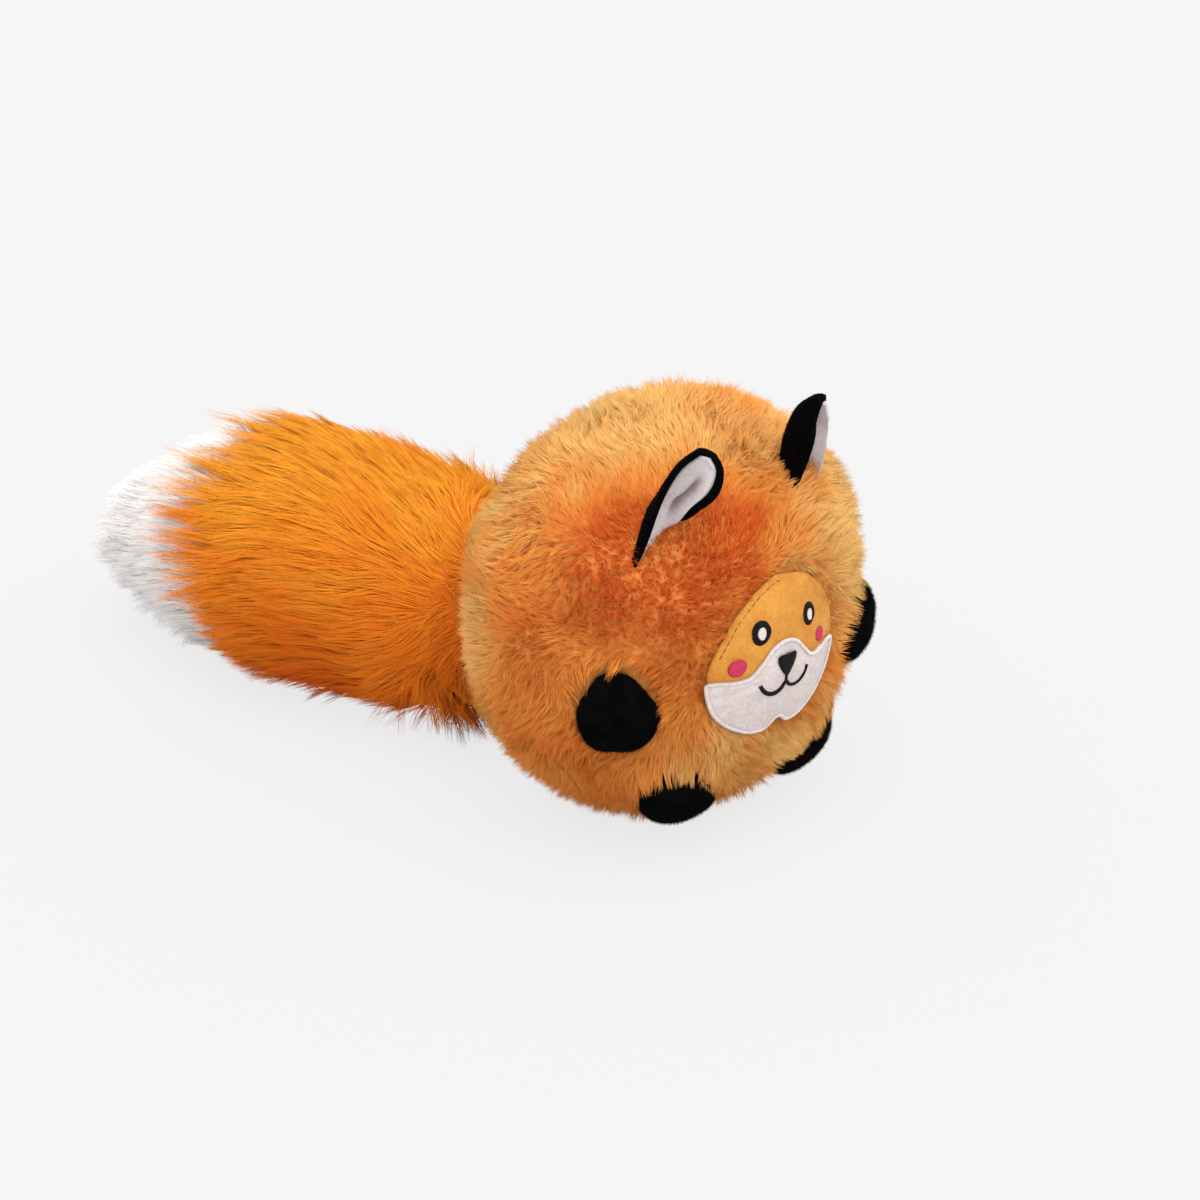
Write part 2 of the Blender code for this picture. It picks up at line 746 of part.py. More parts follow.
def tail_line(share):
    """A point of the tail's middle line on the floor plan, and its heading there."""
    root = tail_root_place()
    a = math.radians(TAIL_HEADING)
    bend = root + Vector((-math.sin(a), math.cos(a), 0)) * TAIL_LENGTH * TAIL_BEND_SHARE
    tip = bend + Vector((0, TAIL_LENGTH * (1 - TAIL_BEND_SHARE), 0))
    point = root * (1 - share) ** 2 + bend * 2 * share * (1 - share) + tip * share**2
    along = (bend - root) * (1 - share) + (tip - bend) * share
    return point, Vector((along.x, along.y, 0)).normalized()


def tail_height(share):
    """The height of the tail's middle line, so that the brush lies on the floor."""
    swell = max(tail_swell_at(share), TAIL_TIP_SHARE)
    lying = TAIL_RADIUS * swell - REST_FLAT
    landed = smooth_step(share / TAIL_LANDS)
    height = tail_root_place().z * (1 - landed) + lying * landed
    return height + TAIL_TIP_RISE * smooth_step((share - TAIL_LIFTS) / (1 - TAIL_LIFTS))


def tail_form(name, inset, collection=None):
    """The brush, or the same form moved in by inset: rings of a ball, set along the middle line."""
    bm = bmesh.new()
    bmesh.ops.create_uvsphere(
        bm, u_segments=TAIL_SEGMENTS, v_segments=TAIL_RINGS, radius=1.0
    )
    low = inset / TAIL_LENGTH
    origin = tail_root_place()
    for vert in bm.verts:
        own = (1 - vert.co.z) / 2
        share = low + (1 - 2 * low) * own
        pole = abs(vert.co.z) > 1 - 1e-6
        radius = 0.0 if pole else (TAIL_RADIUS - inset) * tail_swell_at(own)
        spin = math.atan2(vert.co.y, vert.co.x)
        point, heading = tail_line(share)
        side = Vector((heading.y, -heading.x, 0))
        vert.co = (
            Vector((point.x, point.y, tail_height(share)))
            + side * radius * math.cos(spin)
            + Vector((0, 0, 1)) * radius * math.sin(spin)
            - origin
        )
    return add_object(name, mesh_from(bm, name), Matrix.Translation(origin), collection)


def build_tail(cover_rear):
    root = tail_root_place()
    a = math.radians(TAIL_HEADING)
    swing = joint_empty("joint_tail_swing", root, (0, 0, 1))
    lift = joint_empty("joint_tail_lift", root, (math.cos(a), math.sin(a), 0), swing)
    socket = ball_cutter("cut_tail_root", root, TAIL_ROOT_RADIUS + GAP, TAIL_ROOT_SEGMENTS)
    wall = TAIL_ROOT_RADIUS + GAP + TAIL_WALL_AT_ROOT
    wall = ball_cutter("cut_tail_wall", root, wall, TAIL_ROOT_SEGMENTS)
    boolean(cover_rear, socket, "DIFFERENCE")
    semi = Vector((1, 1, 1)) * TAIL_ROOT_RADIUS
    ball = ellipsoid_mesh("tail_root", semi, TAIL_ROOT_SEGMENTS, TAIL_ROOT_SEGMENTS // 2)
    finish(add_object("tail_root", ball, Matrix.Translation(root)), "tail_plush", swing)

    point, heading = tail_line(TAIL_SEAM_SHARE)
    seam_tip = half_space("cut_tail_tip", point - heading * GAP / 2, heading)
    seam_root = half_space("cut_tail_brush", point + heading * GAP / 2, -heading)
    floor = bpy.data.objects["cut_floor"]
    inside = as_cutter(tail_form("cut_tail_inside", TAIL_COVER_THICKNESS, CUTTERS))
    boolean(inside, wall, "DIFFERENCE")
    brush = tail_form("tail_cover", 0.0)
    tip = tail_form("tail_tip_cover", 0.0)
    for cover, other in ((brush, seam_tip), (tip, seam_root)):
        boolean(cover, inside, "DIFFERENCE")
        boolean(cover, other, "DIFFERENCE")
        boolean(cover, floor, "DIFFERENCE")
    boolean(brush, socket, "DIFFERENCE")
    finish(brush, "tail_plush", lift)
    finish(tip, "white_plush", lift)
    fill = tail_form("tail_fill", TAIL_COVER_THICKNESS + GAP)
    fill_wall = TAIL_ROOT_RADIUS + 2 * GAP + TAIL_WALL_AT_ROOT
    boolean(fill, ball_cutter("cut_tail_fill", root, fill_wall, TAIL_ROOT_SEGMENTS), "DIFFERENCE")
    finish(fill, "fibre_fill", lift)


def build_face(cover_front):
    """The face panel in its recess, the muzzle on it, and the stitched features."""
    panel = mirrored_loop(PANEL_HALF)
    muzzle = mirrored_loop(MUZZLE_HALF)
    recess = as_cutter(add_object("cut_face", outline_mesh("cut_face", panel, GAP), None, CUTTERS))
    boolean(recess, body_cutter(-FACE_RECESS), "DIFFERENCE")
    boolean(cover_front, recess, "DIFFERENCE")

    panel_low = -FACE_RECESS + GAP
    panel_top = panel_low + FACE_PANEL_THICKNESS
    muzzle_low = panel_top + GAP
    muzzle_top = muzzle_low + MUZZLE_THICKNESS
    face_layer("face_panel", panel, panel_low, FACE_PANEL_THICKNESS, "face_felt")
    face_layer("muzzle_patch", muzzle, muzzle_low, MUZZLE_THICKNESS, "muzzle_felt")
    for side_name, side in (("right", -1), ("left", 1)):
        eye = ellipse_loop(side * EYE_X, EYE_Z, EYE_SIZE)
        room = [s + 2 * GAP for s in EYE_HIGHLIGHT_SIZE]
        hole = ellipse_loop(side * EYE_X, EYE_Z, room)
        light = ellipse_loop(side * EYE_X, EYE_Z, EYE_HIGHLIGHT_SIZE)
        cheek = ellipse_loop(side * CHEEK_X, CHEEK_Z, CHEEK_SIZE)
        face_layer(f"eye_{side_name}", eye, muzzle_low, PATCH_THICKNESS, "black_thread", hole)
        face_layer(f"eye_highlight_{side_name}", light, muzzle_low, PATCH_THICKNESS, "white_thread")
        face_layer(f"cheek_{side_name}", cheek, muzzle_low, PATCH_THICKNESS, "pink_thread")
    face_layer("nose", NOSE_OUTLINE, muzzle_top + GAP, NOSE_THICKNESS, "black_thread")

    border = inset_loop(catmull_rom(muzzle, 2, closed=True), STITCH_INSET)
    stitch("muzzle_stitching", border, True, STITCH_RADIUS, muzzle_top, "white_thread")
    smile = [(-x, z) for x, z in reversed(MOUTH_HALF[1:])] + list(MOUTH_HALF)
    smile = catmull_rom(smile, 3, closed=False)
    stitch("mouth", smile, False, MOUTH_RADIUS, muzzle_top, "black_thread")
    brow = [(-x, z) for x, z in PANEL_HALF[5:-1]]
    brow = brow + list(reversed(PANEL_HALF[5:]))
    brow = [(x, z) for x, z in brow if z > EYE_Z / 2]
    brow = inset_loop(catmull_rom(brow, 3, closed=False), -STITCH_INSET)[1:-1]
    stitch("face_stitching", brow, False, MOUTH_RADIUS, panel_top, "mustard_thread")


clear_scene()
PARTS = new_collection("plush_fox")
CUTTERS = new_collection("cutters")
CUTTERS.hide_render = True
BODY_FRONT, BODY_REAR = build_body()
build_face(BODY_FRONT)
for PAW_NAME, PAW_PLACE in PAWS.items():
    build_paw(PAW_NAME, *PAW_PLACE, BODY_FRONT)
for EAR_SIDE, EAR_PLACE in EARS.items():
    build_ear(EAR_SIDE, *EAR_PLACE)
build_tail(BODY_REAR)
bpy.context.view_layer.update()
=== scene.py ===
# %% [markdown]
# # A ball-bodied plush fox
# The toy is a stuffed ball with a stitched face, two cupped ears, four flat paws and a long
# brush of a tail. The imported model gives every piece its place. This notebook dresses it:
# sewn and stuffed skins first, then the pile that grows out of them, then the stitching.

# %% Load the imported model
import json
import math

import bmesh
import bpy
import numpy as np
from mathutils import Matrix, Vector, noise
from mathutils.bvhtree import BVHTree


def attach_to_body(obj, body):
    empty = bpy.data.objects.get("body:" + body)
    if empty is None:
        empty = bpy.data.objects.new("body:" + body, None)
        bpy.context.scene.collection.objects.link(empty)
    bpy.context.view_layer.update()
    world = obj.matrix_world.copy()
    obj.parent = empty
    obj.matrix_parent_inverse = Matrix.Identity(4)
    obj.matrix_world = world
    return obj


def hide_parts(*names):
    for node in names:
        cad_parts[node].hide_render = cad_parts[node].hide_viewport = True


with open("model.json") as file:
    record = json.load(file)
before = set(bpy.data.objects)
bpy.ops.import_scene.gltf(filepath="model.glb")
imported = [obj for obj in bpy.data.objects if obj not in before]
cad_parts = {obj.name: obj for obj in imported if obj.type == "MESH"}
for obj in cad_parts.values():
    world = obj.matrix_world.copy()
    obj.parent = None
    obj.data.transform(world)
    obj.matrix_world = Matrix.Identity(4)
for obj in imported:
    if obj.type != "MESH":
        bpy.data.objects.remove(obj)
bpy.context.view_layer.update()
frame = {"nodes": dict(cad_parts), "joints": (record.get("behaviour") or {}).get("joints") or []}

JOINTS = {joint["name"]: joint for joint in frame["joints"]}
MM = 0.001

# %% [markdown]
# ## Camera
# The photograph was taken with a long lens from the fox's front right, and looks down at it.
# The ball's middle sits to the right of the picture's middle, so the camera stands square to
# its own view and a little to the left of the ball. No shift and no depth of field.

# %% Camera
BALL = Vector((0.0, 0.0, 54.5 * MM))
PILE_RADIUS = 57.0 * MM
VIEW_AZIMUTH = math.radians(-39.685)
VIEW_HEIGHT = math.radians(25.679)
VIEW_DISTANCE = 12 * PILE_RADIUS
VIEW_LEFT = 0.279 * PILE_RADIUS
VIEW_DOWN = 0.005 * PILE_RADIUS
LENS = 80.28


def direction_from(azimuth, height):
    """The way to a viewer. Angles in radians, from straight ahead (-Y) to the fox's left (+X)."""
    level = math.cos(height)
    return Vector((math.sin(azimuth) * level, -math.cos(azimuth) * level, math.sin(height)))


def place_camera():
    back = direction_from(VIEW_AZIMUTH, VIEW_HEIGHT)
    right = Vector((math.cos(VIEW_AZIMUTH), math.sin(VIEW_AZIMUTH), 0.0))
    up = back.cross(right)
    data = bpy.data.cameras.new("camera")
    data.lens = LENS
    data.clip_start = 0.01
    camera = bpy.data.objects.new("camera", data)
    bpy.context.scene.collection.objects.link(camera)
    turn = Matrix((right, up, back)).transposed().to_4x4()
    spot = BALL + back * VIEW_DISTANCE - right * VIEW_LEFT - up * VIEW_DOWN
    camera.matrix_world = Matrix.Translation(spot) @ turn
    bpy.context.scene.camera = camera


place_camera()
print("camera distance, metres:", round(VIEW_DISTANCE, 3))

# %% [markdown]
# ## Materials
# Every finish is a small node tree on a Principled shader. The pile carries three numbers on
# each strand: how far along it a point lies, the tint of its lock, and how much of a second
# dye it has taken, which on the body also holds painted light and shade. The nodes turn those
# into colour, with painted shade at the roots, so that roots are deep and tips are pale.

# %% Material helpers
SCENE = bpy.context.scene
SCENE.view_settings.view_transform = "Standard"


def new_object(name, mesh):
    made = bpy.data.objects.new(name, mesh)
    SCENE.collection.objects.link(made)
    return made


def new_material(name, roughness=0.8, sheen=0.0, specular=0.2):
    made = bpy.data.materials.new(name)
    made.use_nodes = True
    shader = made.node_tree.nodes["Principled BSDF"]
    shader.inputs["Roughness"].default_value = roughness
    shader.inputs["Specular IOR Level"].default_value = specular
    shader.inputs["Sheen Weight"].default_value = sheen
    shader.inputs["Sheen Roughness"].default_value = 0.5
    return made, made.node_tree, shader


def mix_colour(tree, factor, low, high, kind="MIX"):
    """A Mix node on colours. Each input is a socket, a number or a colour."""
    node = tree.nodes.new("ShaderNodeMix")
    node.data_type = "RGBA"
    node.blend_type = kind
    for socket, value in ((0, factor), (6, low), (7, high)):
        if hasattr(value, "is_output"):
            tree.links.new(value, node.inputs[socket])
        elif socket == 0:
            node.inputs[socket].default_value = value
        else:
            node.inputs[socket].default_value = (*value, 1.0)
    return node.outputs[2]


def shaded(tree, colour, shade):
    return mix_colour(tree, 1.0, colour, shade, "MULTIPLY")


def attribute(tree, name):
    node = tree.nodes.new("ShaderNodeAttribute")
    node.attribute_name = name
    return node.outputs["Fac"]


def object_noise(tree, scale, detail=2.0):
    place = tree.nodes.new("ShaderNodeTexCoord")
    node = tree.nodes.new("ShaderNodeTexNoise")
    node.inputs["Scale"].default_value = scale
    node.inputs["Detail"].default_value = detail
    tree.links.new(place.outputs["Object"], node.inputs["Vector"])
    return node.outputs["Fac"]


def ramp(tree, value, low, high):
    """Spreads a value between low and high to 0 and 1."""
    node = tree.nodes.new("ShaderNodeMapRange")
    node.interpolation_type = "SMOOTHSTEP"
    node.inputs["From Min"].default_value = low
    node.inputs["From Max"].default_value = high
    tree.links.new(value, node.inputs["Value"])
    return node.outputs["Result"]


def add_bump(tree, shader, height, depth):
    node = tree.nodes.new("ShaderNodeBump")
    node.inputs["Distance"].default_value = depth
    tree.links.new(height, node.inputs["Height"])
    tree.links.new(node.outputs["Normal"], shader.inputs["Normal"])


def dye_ramp(tree, dyes):
    """A colour ramp over the dye: 0 is the first colour, 1 the last."""
    node = tree.nodes.new("ShaderNodeValToRGB")
    node.color_ramp.interpolation = "EASE"
    stops = node.color_ramp.elements
    stops[0].color = (*dyes[0], 1.0)
    stops[-1].color = (*dyes[-1], 1.0)
    for index, dye in enumerate(dyes[1:-1], 1):
        stops.new(index / (len(dyes) - 1)).color = (*dye, 1.0)
    tree.links.new(attribute(tree, "dye"), node.inputs["Fac"])
    return node.outputs["Color"]


def pile_material(
    name, dyes, painted_root_shade=(0.97, 0.84, 0.68), lock_shade=(0.93, 0.81, 0.70), specular=0.08
):
    """Pile: dyed along a ramp, with painted shade at the roots, and a little different from lock to
    lock.
    """
    made, tree, shader = new_material(name, specular=specular)
    along = ramp(tree, attribute(tree, "along"), 0.05, 0.8)
    # Painted shade, deepest at the roots and gone towards the tips
    depth = mix_colour(tree, along, painted_root_shade, (1, 1, 1))
    tone = mix_colour(tree, attribute(tree, "tint"), lock_shade, (1, 1, 1))
    colour = shaded(tree, shaded(tree, dye_ramp(tree, dyes), depth), tone)
    tree.links.new(colour, shader.inputs["Base Color"])
    return made


def cloth_material(
    name, colour, worn, grain=900, bump=0.00015, roughness=0.85, sheen=0.2, specular=0.2
):
    """Short-nap cloth: two close tones in soft clouds, and a fine grain in its relief."""
    made, tree, shader = new_material(name, roughness, sheen, specular)
    clouds = ramp(tree, object_noise(tree, 160, 4.0), 0.3, 0.7)
    nap = object_noise(tree, grain, 3.0)
    base = mix_colour(tree, clouds, worn, colour)
    shade = mix_colour(tree, ramp(tree, nap, 0.3, 0.7), (0.86, 0.86, 0.86), (1, 1, 1))
    tree.links.new(shaded(tree, base, shade), shader.inputs["Base Color"])
    add_bump(tree, shader, nap, bump)
    return made


def thread_material(name, colour, dark):
    """Embroidery thread: each thread has its own tone, and painted shade darkens it where it dives
    into the cloth.
    """
    made, tree, shader = new_material(name, roughness=0.6, specular=0.15)
    tone = mix_colour(tree, attribute(tree, "tint"), dark, colour)
    # Painted shade at both ends, where the thread goes under
    ends = ramp(tree, attribute(tree, "along"), 0.0, 0.2)
    tree.links.new(mix_colour(tree, ends, dark, tone), shader.inputs["Base Color"])
    return made


print("view transform:", SCENE.view_settings.view_transform)

# %% [markdown]
# ## Floor and light
# A pale floor that runs into the backdrop: the camera sees mostly its plain tone, and a share
# of real shade, so the toy keeps a faint shadow. Both lamps are distant and soft: a strong one
# high above the camera's side, and a weak one from the right of the picture.

# %% Floor and light
BACKDROP = 0.922
FLOOR_PAPER = 0.56
WORLD_LEVEL = 1.09
KEY_LEVEL = 1.72
FILL_LEVEL = 0.40
SHADE_SHARE = 0.15
FLOOR_HALF = 4.0


def grey(level):
    return (level, level, level, 1)


def math_node(tree, operation, *values):
    """A Math node. Each input is a socket or a number."""
    node = tree.nodes.new("ShaderNodeMath")
    node.operation = operation
    for socket, value in zip(node.inputs, values):
        if hasattr(value, "is_output"):
            tree.links.new(value, socket)
        else:
            socket.default_value = value
    return node.outputs[0]


def toned_node(tree, kind, level):
    node = tree.nodes.new(f"ShaderNode{kind}")
    node.inputs["Color"].default_value = grey(level)
    return node


def seen_by_camera(tree):
    """1 where the camera sees a surface, straight or in gloss or glass, and otherwise 0."""
    path = tree.nodes.new("ShaderNodeLightPath")
    seen = path.outputs["Is Camera Ray"]
    for ray in ("Is Glossy Ray", "Is Transmission Ray"):
        seen = math_node(tree, "MAXIMUM", seen, path.outputs[ray])
    return seen


def mix_surface(tree, share, low, high, output):
    """Shows the first shader, or by that share the second."""
    mix = tree.nodes.new("ShaderNodeMixShader")
    for socket, value in zip(mix.inputs, (share, low.outputs[0], high.outputs[0])):
        tree.links.new(value, socket)
    tree.links.new(mix.outputs[0], tree.nodes[output].inputs["Surface"])


def build_world():
    world = bpy.data.worlds.new("studio")
    world.use_nodes = True
    SCENE.world = world
    tree = world.node_tree
    light = tree.nodes["Background"]
    light.inputs["Color"].default_value = grey(1)
    light.inputs["Strength"].default_value = WORLD_LEVEL
    seen = toned_node(tree, "Background", BACKDROP)
    mix_surface(tree, seen_by_camera(tree), light, seen, "World Output")


def build_floor():
    bm = bmesh.new()
    bmesh.ops.create_grid(bm, x_segments=1, y_segments=1, size=FLOOR_HALF)
    mesh = bpy.data.meshes.new("floor")
    bm.to_mesh(mesh)
    bm.free()
    floor = new_object("floor", mesh)
    made = bpy.data.materials.new("floor_paper")
    made.use_nodes = True
    tree = made.node_tree
    tree.nodes.remove(tree.nodes["Principled BSDF"])
    paper = toned_node(tree, "BsdfDiffuse", FLOOR_PAPER)
    plain = toned_node(tree, "Emission", BACKDROP)
    share = math_node(tree, "MULTIPLY", seen_by_camera(tree), 1 - SHADE_SHARE)
    mix_surface(tree, share, paper, plain, "Material Output")
    mesh.materials.append(made)


def soft_sun(name, heading, spread, strength):
    """A distant soft lamp. heading points from the toy to the lamp."""
    data = bpy.data.lights.new(name, "SUN")
    data.angle = math.radians(spread)
    data.energy = strength
    lamp = bpy.data.objects.new(name, data)
    SCENE.collection.objects.link(lamp)
    lamp.matrix_world = Vector(heading).to_track_quat("Z", "Y").to_matrix().to_4x4()


build_world()
build_floor()
soft_sun("key_overhead", (-0.30, -0.35, 0.88), 60, KEY_LEVEL)
soft_sun("fill_right", (0.70, -0.60, 0.45), 80, FILL_LEVEL)
print("lamps:", len(bpy.data.lights))

# %% [markdown]
# ## Stuffed skins
# A plush is cut from cloth and stuffed, so each skin starts as a slightly small closed form,
# and a cloth simulation blows it up until the cloth pulls tight. Fibre never packs evenly, so
# the form gets soft lumps first. The simulation's result is kept in the mesh.

# %% Skins
STUFFING_FRAMES = 20


def mesh_object(name, bm):
    mesh = bpy.data.meshes.new(name)
    bm.to_mesh(mesh)
    bm.free()
    mesh.shade_smooth()
    return new_object(name, mesh)


def points_of(mesh):
    co = np.empty(len(mesh.vertices) * 3)
    mesh.vertices.foreach_get("co", co)
    return co.reshape(-1, 3)


def move_points(mesh, co):
    mesh.vertices.foreach_set("co", co.ravel())
    mesh.update()


def apply_modifiers(obj):
    graph = bpy.context.evaluated_depsgraph_get()
    mesh = bpy.data.meshes.new_from_object(obj.evaluated_get(graph))
    obj.modifiers.clear()
    obj.data = mesh
    mesh.shade_smooth()
    return obj


def subdivide(obj):
    finer = obj.modifiers.new("finer cloth", "SUBSURF")
    finer.levels = finer.render_levels = 1
    return apply_modifiers(obj)


def stuff(obj, voxel, cap, pressure=4.0):
    """Remeshes a closed form, blows it up as cloth, and keeps each point within cap of its start."""
    remesh = obj.modifiers.new("even cloth", "REMESH")
    remesh.mode = "VOXEL"
    remesh.voxel_size = voxel
    apply_modifiers(obj)
    start = points_of(obj.data)
    cloth = obj.modifiers.new("stuffing", "CLOTH")
    cloth.settings.use_pressure = True
    cloth.settings.uniform_pressure_force = pressure
    cloth.settings.quality = 4
    cloth.settings.effector_weights.gravity = 0.0
    cloth.point_cache.frame_start = 1
    cloth.point_cache.frame_end = STUFFING_FRAMES
    for number in range(1, STUFFING_FRAMES + 1):
        SCENE.frame_set(number)
    apply_modifiers(obj)
    SCENE.frame_set(1)
    moved = points_of(obj.data) - start
    far = np.linalg.norm(moved, axis=1, keepdims=True)
    move_points(obj.data, start + moved * np.minimum(1.0, cap / np.maximum(far, 1e-9)))
    print(obj.name, "swelled by", round(float(np.minimum(far, cap).mean()) / MM, 2), "mm")
    return obj


def attach(obj, body, slot, *nodes):
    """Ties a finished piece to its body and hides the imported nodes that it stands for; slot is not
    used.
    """
    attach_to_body(obj, body)
    if nodes:
        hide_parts(*nodes)


def lumps(bm, size, depth, seed):
    """Soft lumps of fibre under the cloth."""
    offset = Vector((seed, seed, seed))
    for vert in bm.verts:
        swell = noise.noise(vert.co / size + offset)
        vert.co += vert.normal * swell * depth


# %% [markdown]
# ## Face outlines
# The face panel and the muzzle are cut from cloth, so their outlines are given flat, as a
# pattern piece is, half of each, and mirrored. They are then laid on the ball.

# %% Face outlines
FACE_SHIFT = 1.8 * MM
FACE_DROP = 0.1 * MM
CAD_HALF = Vector((55.0, 44.0, 55.0)) * MM
PANEL_HALF = (
    (0.0, -17.2), (4.0, -19.6), (9.5, -18.8), (15.0, -14.9), (19.5, -8.8),
    (21.8, -1.6), (21.0, 5.5), (17.6, 12.6), (10.8, 18.2), (0.0, 20.4),
)
MUZZLE_HALF = (
    (0.0, -17.4), (4.0, -20.0), (9.8, -19.2), (15.6, -15.1), (20.2, -8.8), (22.2, -1.4),
    (19.4, -0.6), (15.0, -2.0), (11.0, -2.2), (7.5, 0.5), (4.2, 3.6), (0.0, 4.9),
)


def smoothstep(value):
    t = min(max(value, 0.0), 1.0)
    return t * t * (3 - 2 * t)


def mirrored(half):
    return np.array(list(half) + [(-x, z) for x, z in reversed(half[1:-1])]) * MM


def smooth_loop(points, steps, closed=True):
    """More points on a smooth curve through the given ones."""
    count = len(points)
    result = []
    for i in range(count if closed else count - 1):
        places = range(i - 1, i + 3)
        near = [points[k % count if closed else min(max(k, 0), count - 1)] for k in places]
        for part in range(steps):
            t = part / steps
            weights = (
                (-t + 2 * t**2 - t**3) / 2,
                (2 - 5 * t**2 + 3 * t**3) / 2,
                (t + 4 * t**2 - 3 * t**3) / 2,
                (-(t**2) + t**3) / 2,
            )
            result.append(sum(w * np.array(p) for w, p in zip(weights, near)))
    if not closed:
        result.append(np.array(points[-1]))
    return np.array(result)


def on_ball(x, z, offset):
    """Points on the ball's front at (x, z) of the face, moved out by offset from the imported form."""
    hx = CAD_HALF.x + offset
    hy = CAD_HALF.y + offset
    px = x + FACE_SHIFT
    pz = z - FACE_DROP
    depth = hy * np.sqrt(np.maximum(1 - (px / hx) ** 2 - (pz / hx) ** 2, 0))
    return np.stack([px + BALL.x, BALL.y - depth, pz + BALL.z], -1)


def on_face(places):
    """Each place's x and z on the face, and whether it lies on the ball's front half."""
    return places[:, 0] - FACE_SHIFT, places[:, 2] - BALL.z + FACE_DROP, places[:, 1] < 0


def inside_loop(x, z, loop):
    """Which points of the face lie inside an outline."""
    result = np.zeros(len(x), bool)
    before = np.roll(loop, 1, axis=0)
    for (ax, az), (bx, bz) in zip(before, loop):
        crosses = (az > z) != (bz > z)
        slope = (bx - ax) / (bz - az if bz != az else 1e-12)
        result ^= crosses & (x < ax + (z - az) * slope)
    return result


def widened(loop, distance):
    along = np.roll(loop, -1, axis=0) - np.roll(loop, 1, axis=0)
    along = along / np.linalg.norm(along, axis=1, keepdims=True)
    return loop + np.stack([along[:, 1], -along[:, 0]], 1) * distance


PANEL = smooth_loop(mirrored(PANEL_HALF), 6)
MUZZLE = smooth_loop(mirrored(MUZZLE_HALF), 6)
# Sewn by hand, so not quite even: the panel is cut in at its upper right and the muzzle's left
# end is shorter
cut_in = np.clip(-PANEL[:, 0] / (12 * MM), 0, 1) * np.clip(PANEL[:, 1] / (10 * MM), 0, 1)
PANEL *= 1 - 0.13 * cut_in[:, None]
for axis, cut in ((0, 1.2 * MM), (1, 0.8 * MM)):
    MUZZLE[:, axis] -= cut * np.clip((-MUZZLE[:, 0] - 12 * MM) / (8 * MM), 0, 1)
for outline, share in ((PANEL, 0.06), (MUZZLE, 0.17)):
    outline[:, 0] *= 1 - share * np.clip(outline[:, 0] / (20 * MM), 0, 1)
print("face panel, millimetres:", np.round(np.ptp(PANEL, axis=0) / MM, 1))

# %% [markdown]
# ## The ball
# The body is one ball, a little flat from front to back, sewn from a front and a rear panel.
# It is stuffed whole, then cut at the seam into its two panels.

# %% The ball's skin
SKIN_HALF = Vector((53.5, 42.5, 53.5)) * MM
SEAM_Y = 4.0 * MM
FACE_HOLLOW = 3.6 * MM
FLOOR_LEVEL = 0.3 * MM
# Where the stuffing is fuller or thinner: place, reach and rise, millimetres
BULGES = (
    ((-26, 2, 104), 22, -2.4),
    ((24, -6, 106), 20, 1.6),
    ((40, -22, 88), 18, 2.6),
    ((-32, -24, 12), 22, 1.8),
    ((24, -30, 12), 20, 2.6),
)


def ball_form():
    bm = bmesh.new()
    bmesh.ops.create_icosphere(bm, subdivisions=5, radius=1.0)
    bmesh.ops.scale(bm, vec=SKIN_HALF - Vector((1, 1, 1)) * MM, verts=bm.verts[:])
    bm.normal_update()
    lumps(bm, 24 * MM, 1.3 * MM, 3.0)
    bmesh.ops.translate(bm, vec=BALL, verts=bm.verts[:])
    for vert in bm.verts:
        for spot, reach, rise in BULGES:
            distance = (vert.co - Vector(spot) * MM).length / (reach * MM)
            vert.co += vert.normal * rise * MM * math.exp(-(distance**2))
    return mesh_object("ball_form", bm)


def half_skin(name, ball_skin, towards):
    """The part of the ball on one side of the seam, closed along it."""
    bm = bmesh.new()
    bm.from_mesh(ball_skin.data)
    geometry = bm.verts[:] + bm.edges[:] + bm.faces[:]
    cut = Vector((0, SEAM_Y + towards * 0.1 * MM, 0))
    result = bmesh.ops.bisect_plane(
        bm, geom=geometry, plane_co=cut, plane_no=(0, -towards, 0), clear_outer=True
    )
    rim = [edge for edge in result["geom_cut"] if isinstance(edge, bmesh.types.BMEdge)]
    bmesh.ops.edgeloop_fill(bm, edges=rim)
    bmesh.ops.recalc_face_normals(bm, faces=bm.faces[:])
    return mesh_object(name, bm)


def dent_for_face(obj):
    """The stuffing is pressed in under the face panel, so that the panel lies in a hollow."""
    co = points_of(obj.data)
    x, z, front = on_face(co)
    under = front & inside_loop(x, z, widened(PANEL, 1.2 * MM))
    co[under] = on_ball(x[under], z[under], -FACE_HOLLOW)
    move_points(obj.data, co)
    print("points under the face:", int(under.sum()))


ball = subdivide(stuff(ball_form(), 4 * MM, 1.2 * MM))
dent_for_face(ball)
front_skin = half_skin("body_skin_front", ball, -1)
rear_skin = half_skin("body_skin_rear", ball, 1)
bpy.data.objects.remove(ball)

# %% [markdown]
# ## Growing pile
# A single strand is a three-sided spike, made once by operators. A pile is that strand copied
# to thousands of places, each bent along a curve from its root. No modelling operator
# bends copies one by one, so the copies are worked out with arrays. Strands that stand close
# together lean to the same tip, which is what makes plush look soft and clotted in place of
# bristly.

# %% Strands and locks
STRAND_SIDES = 3


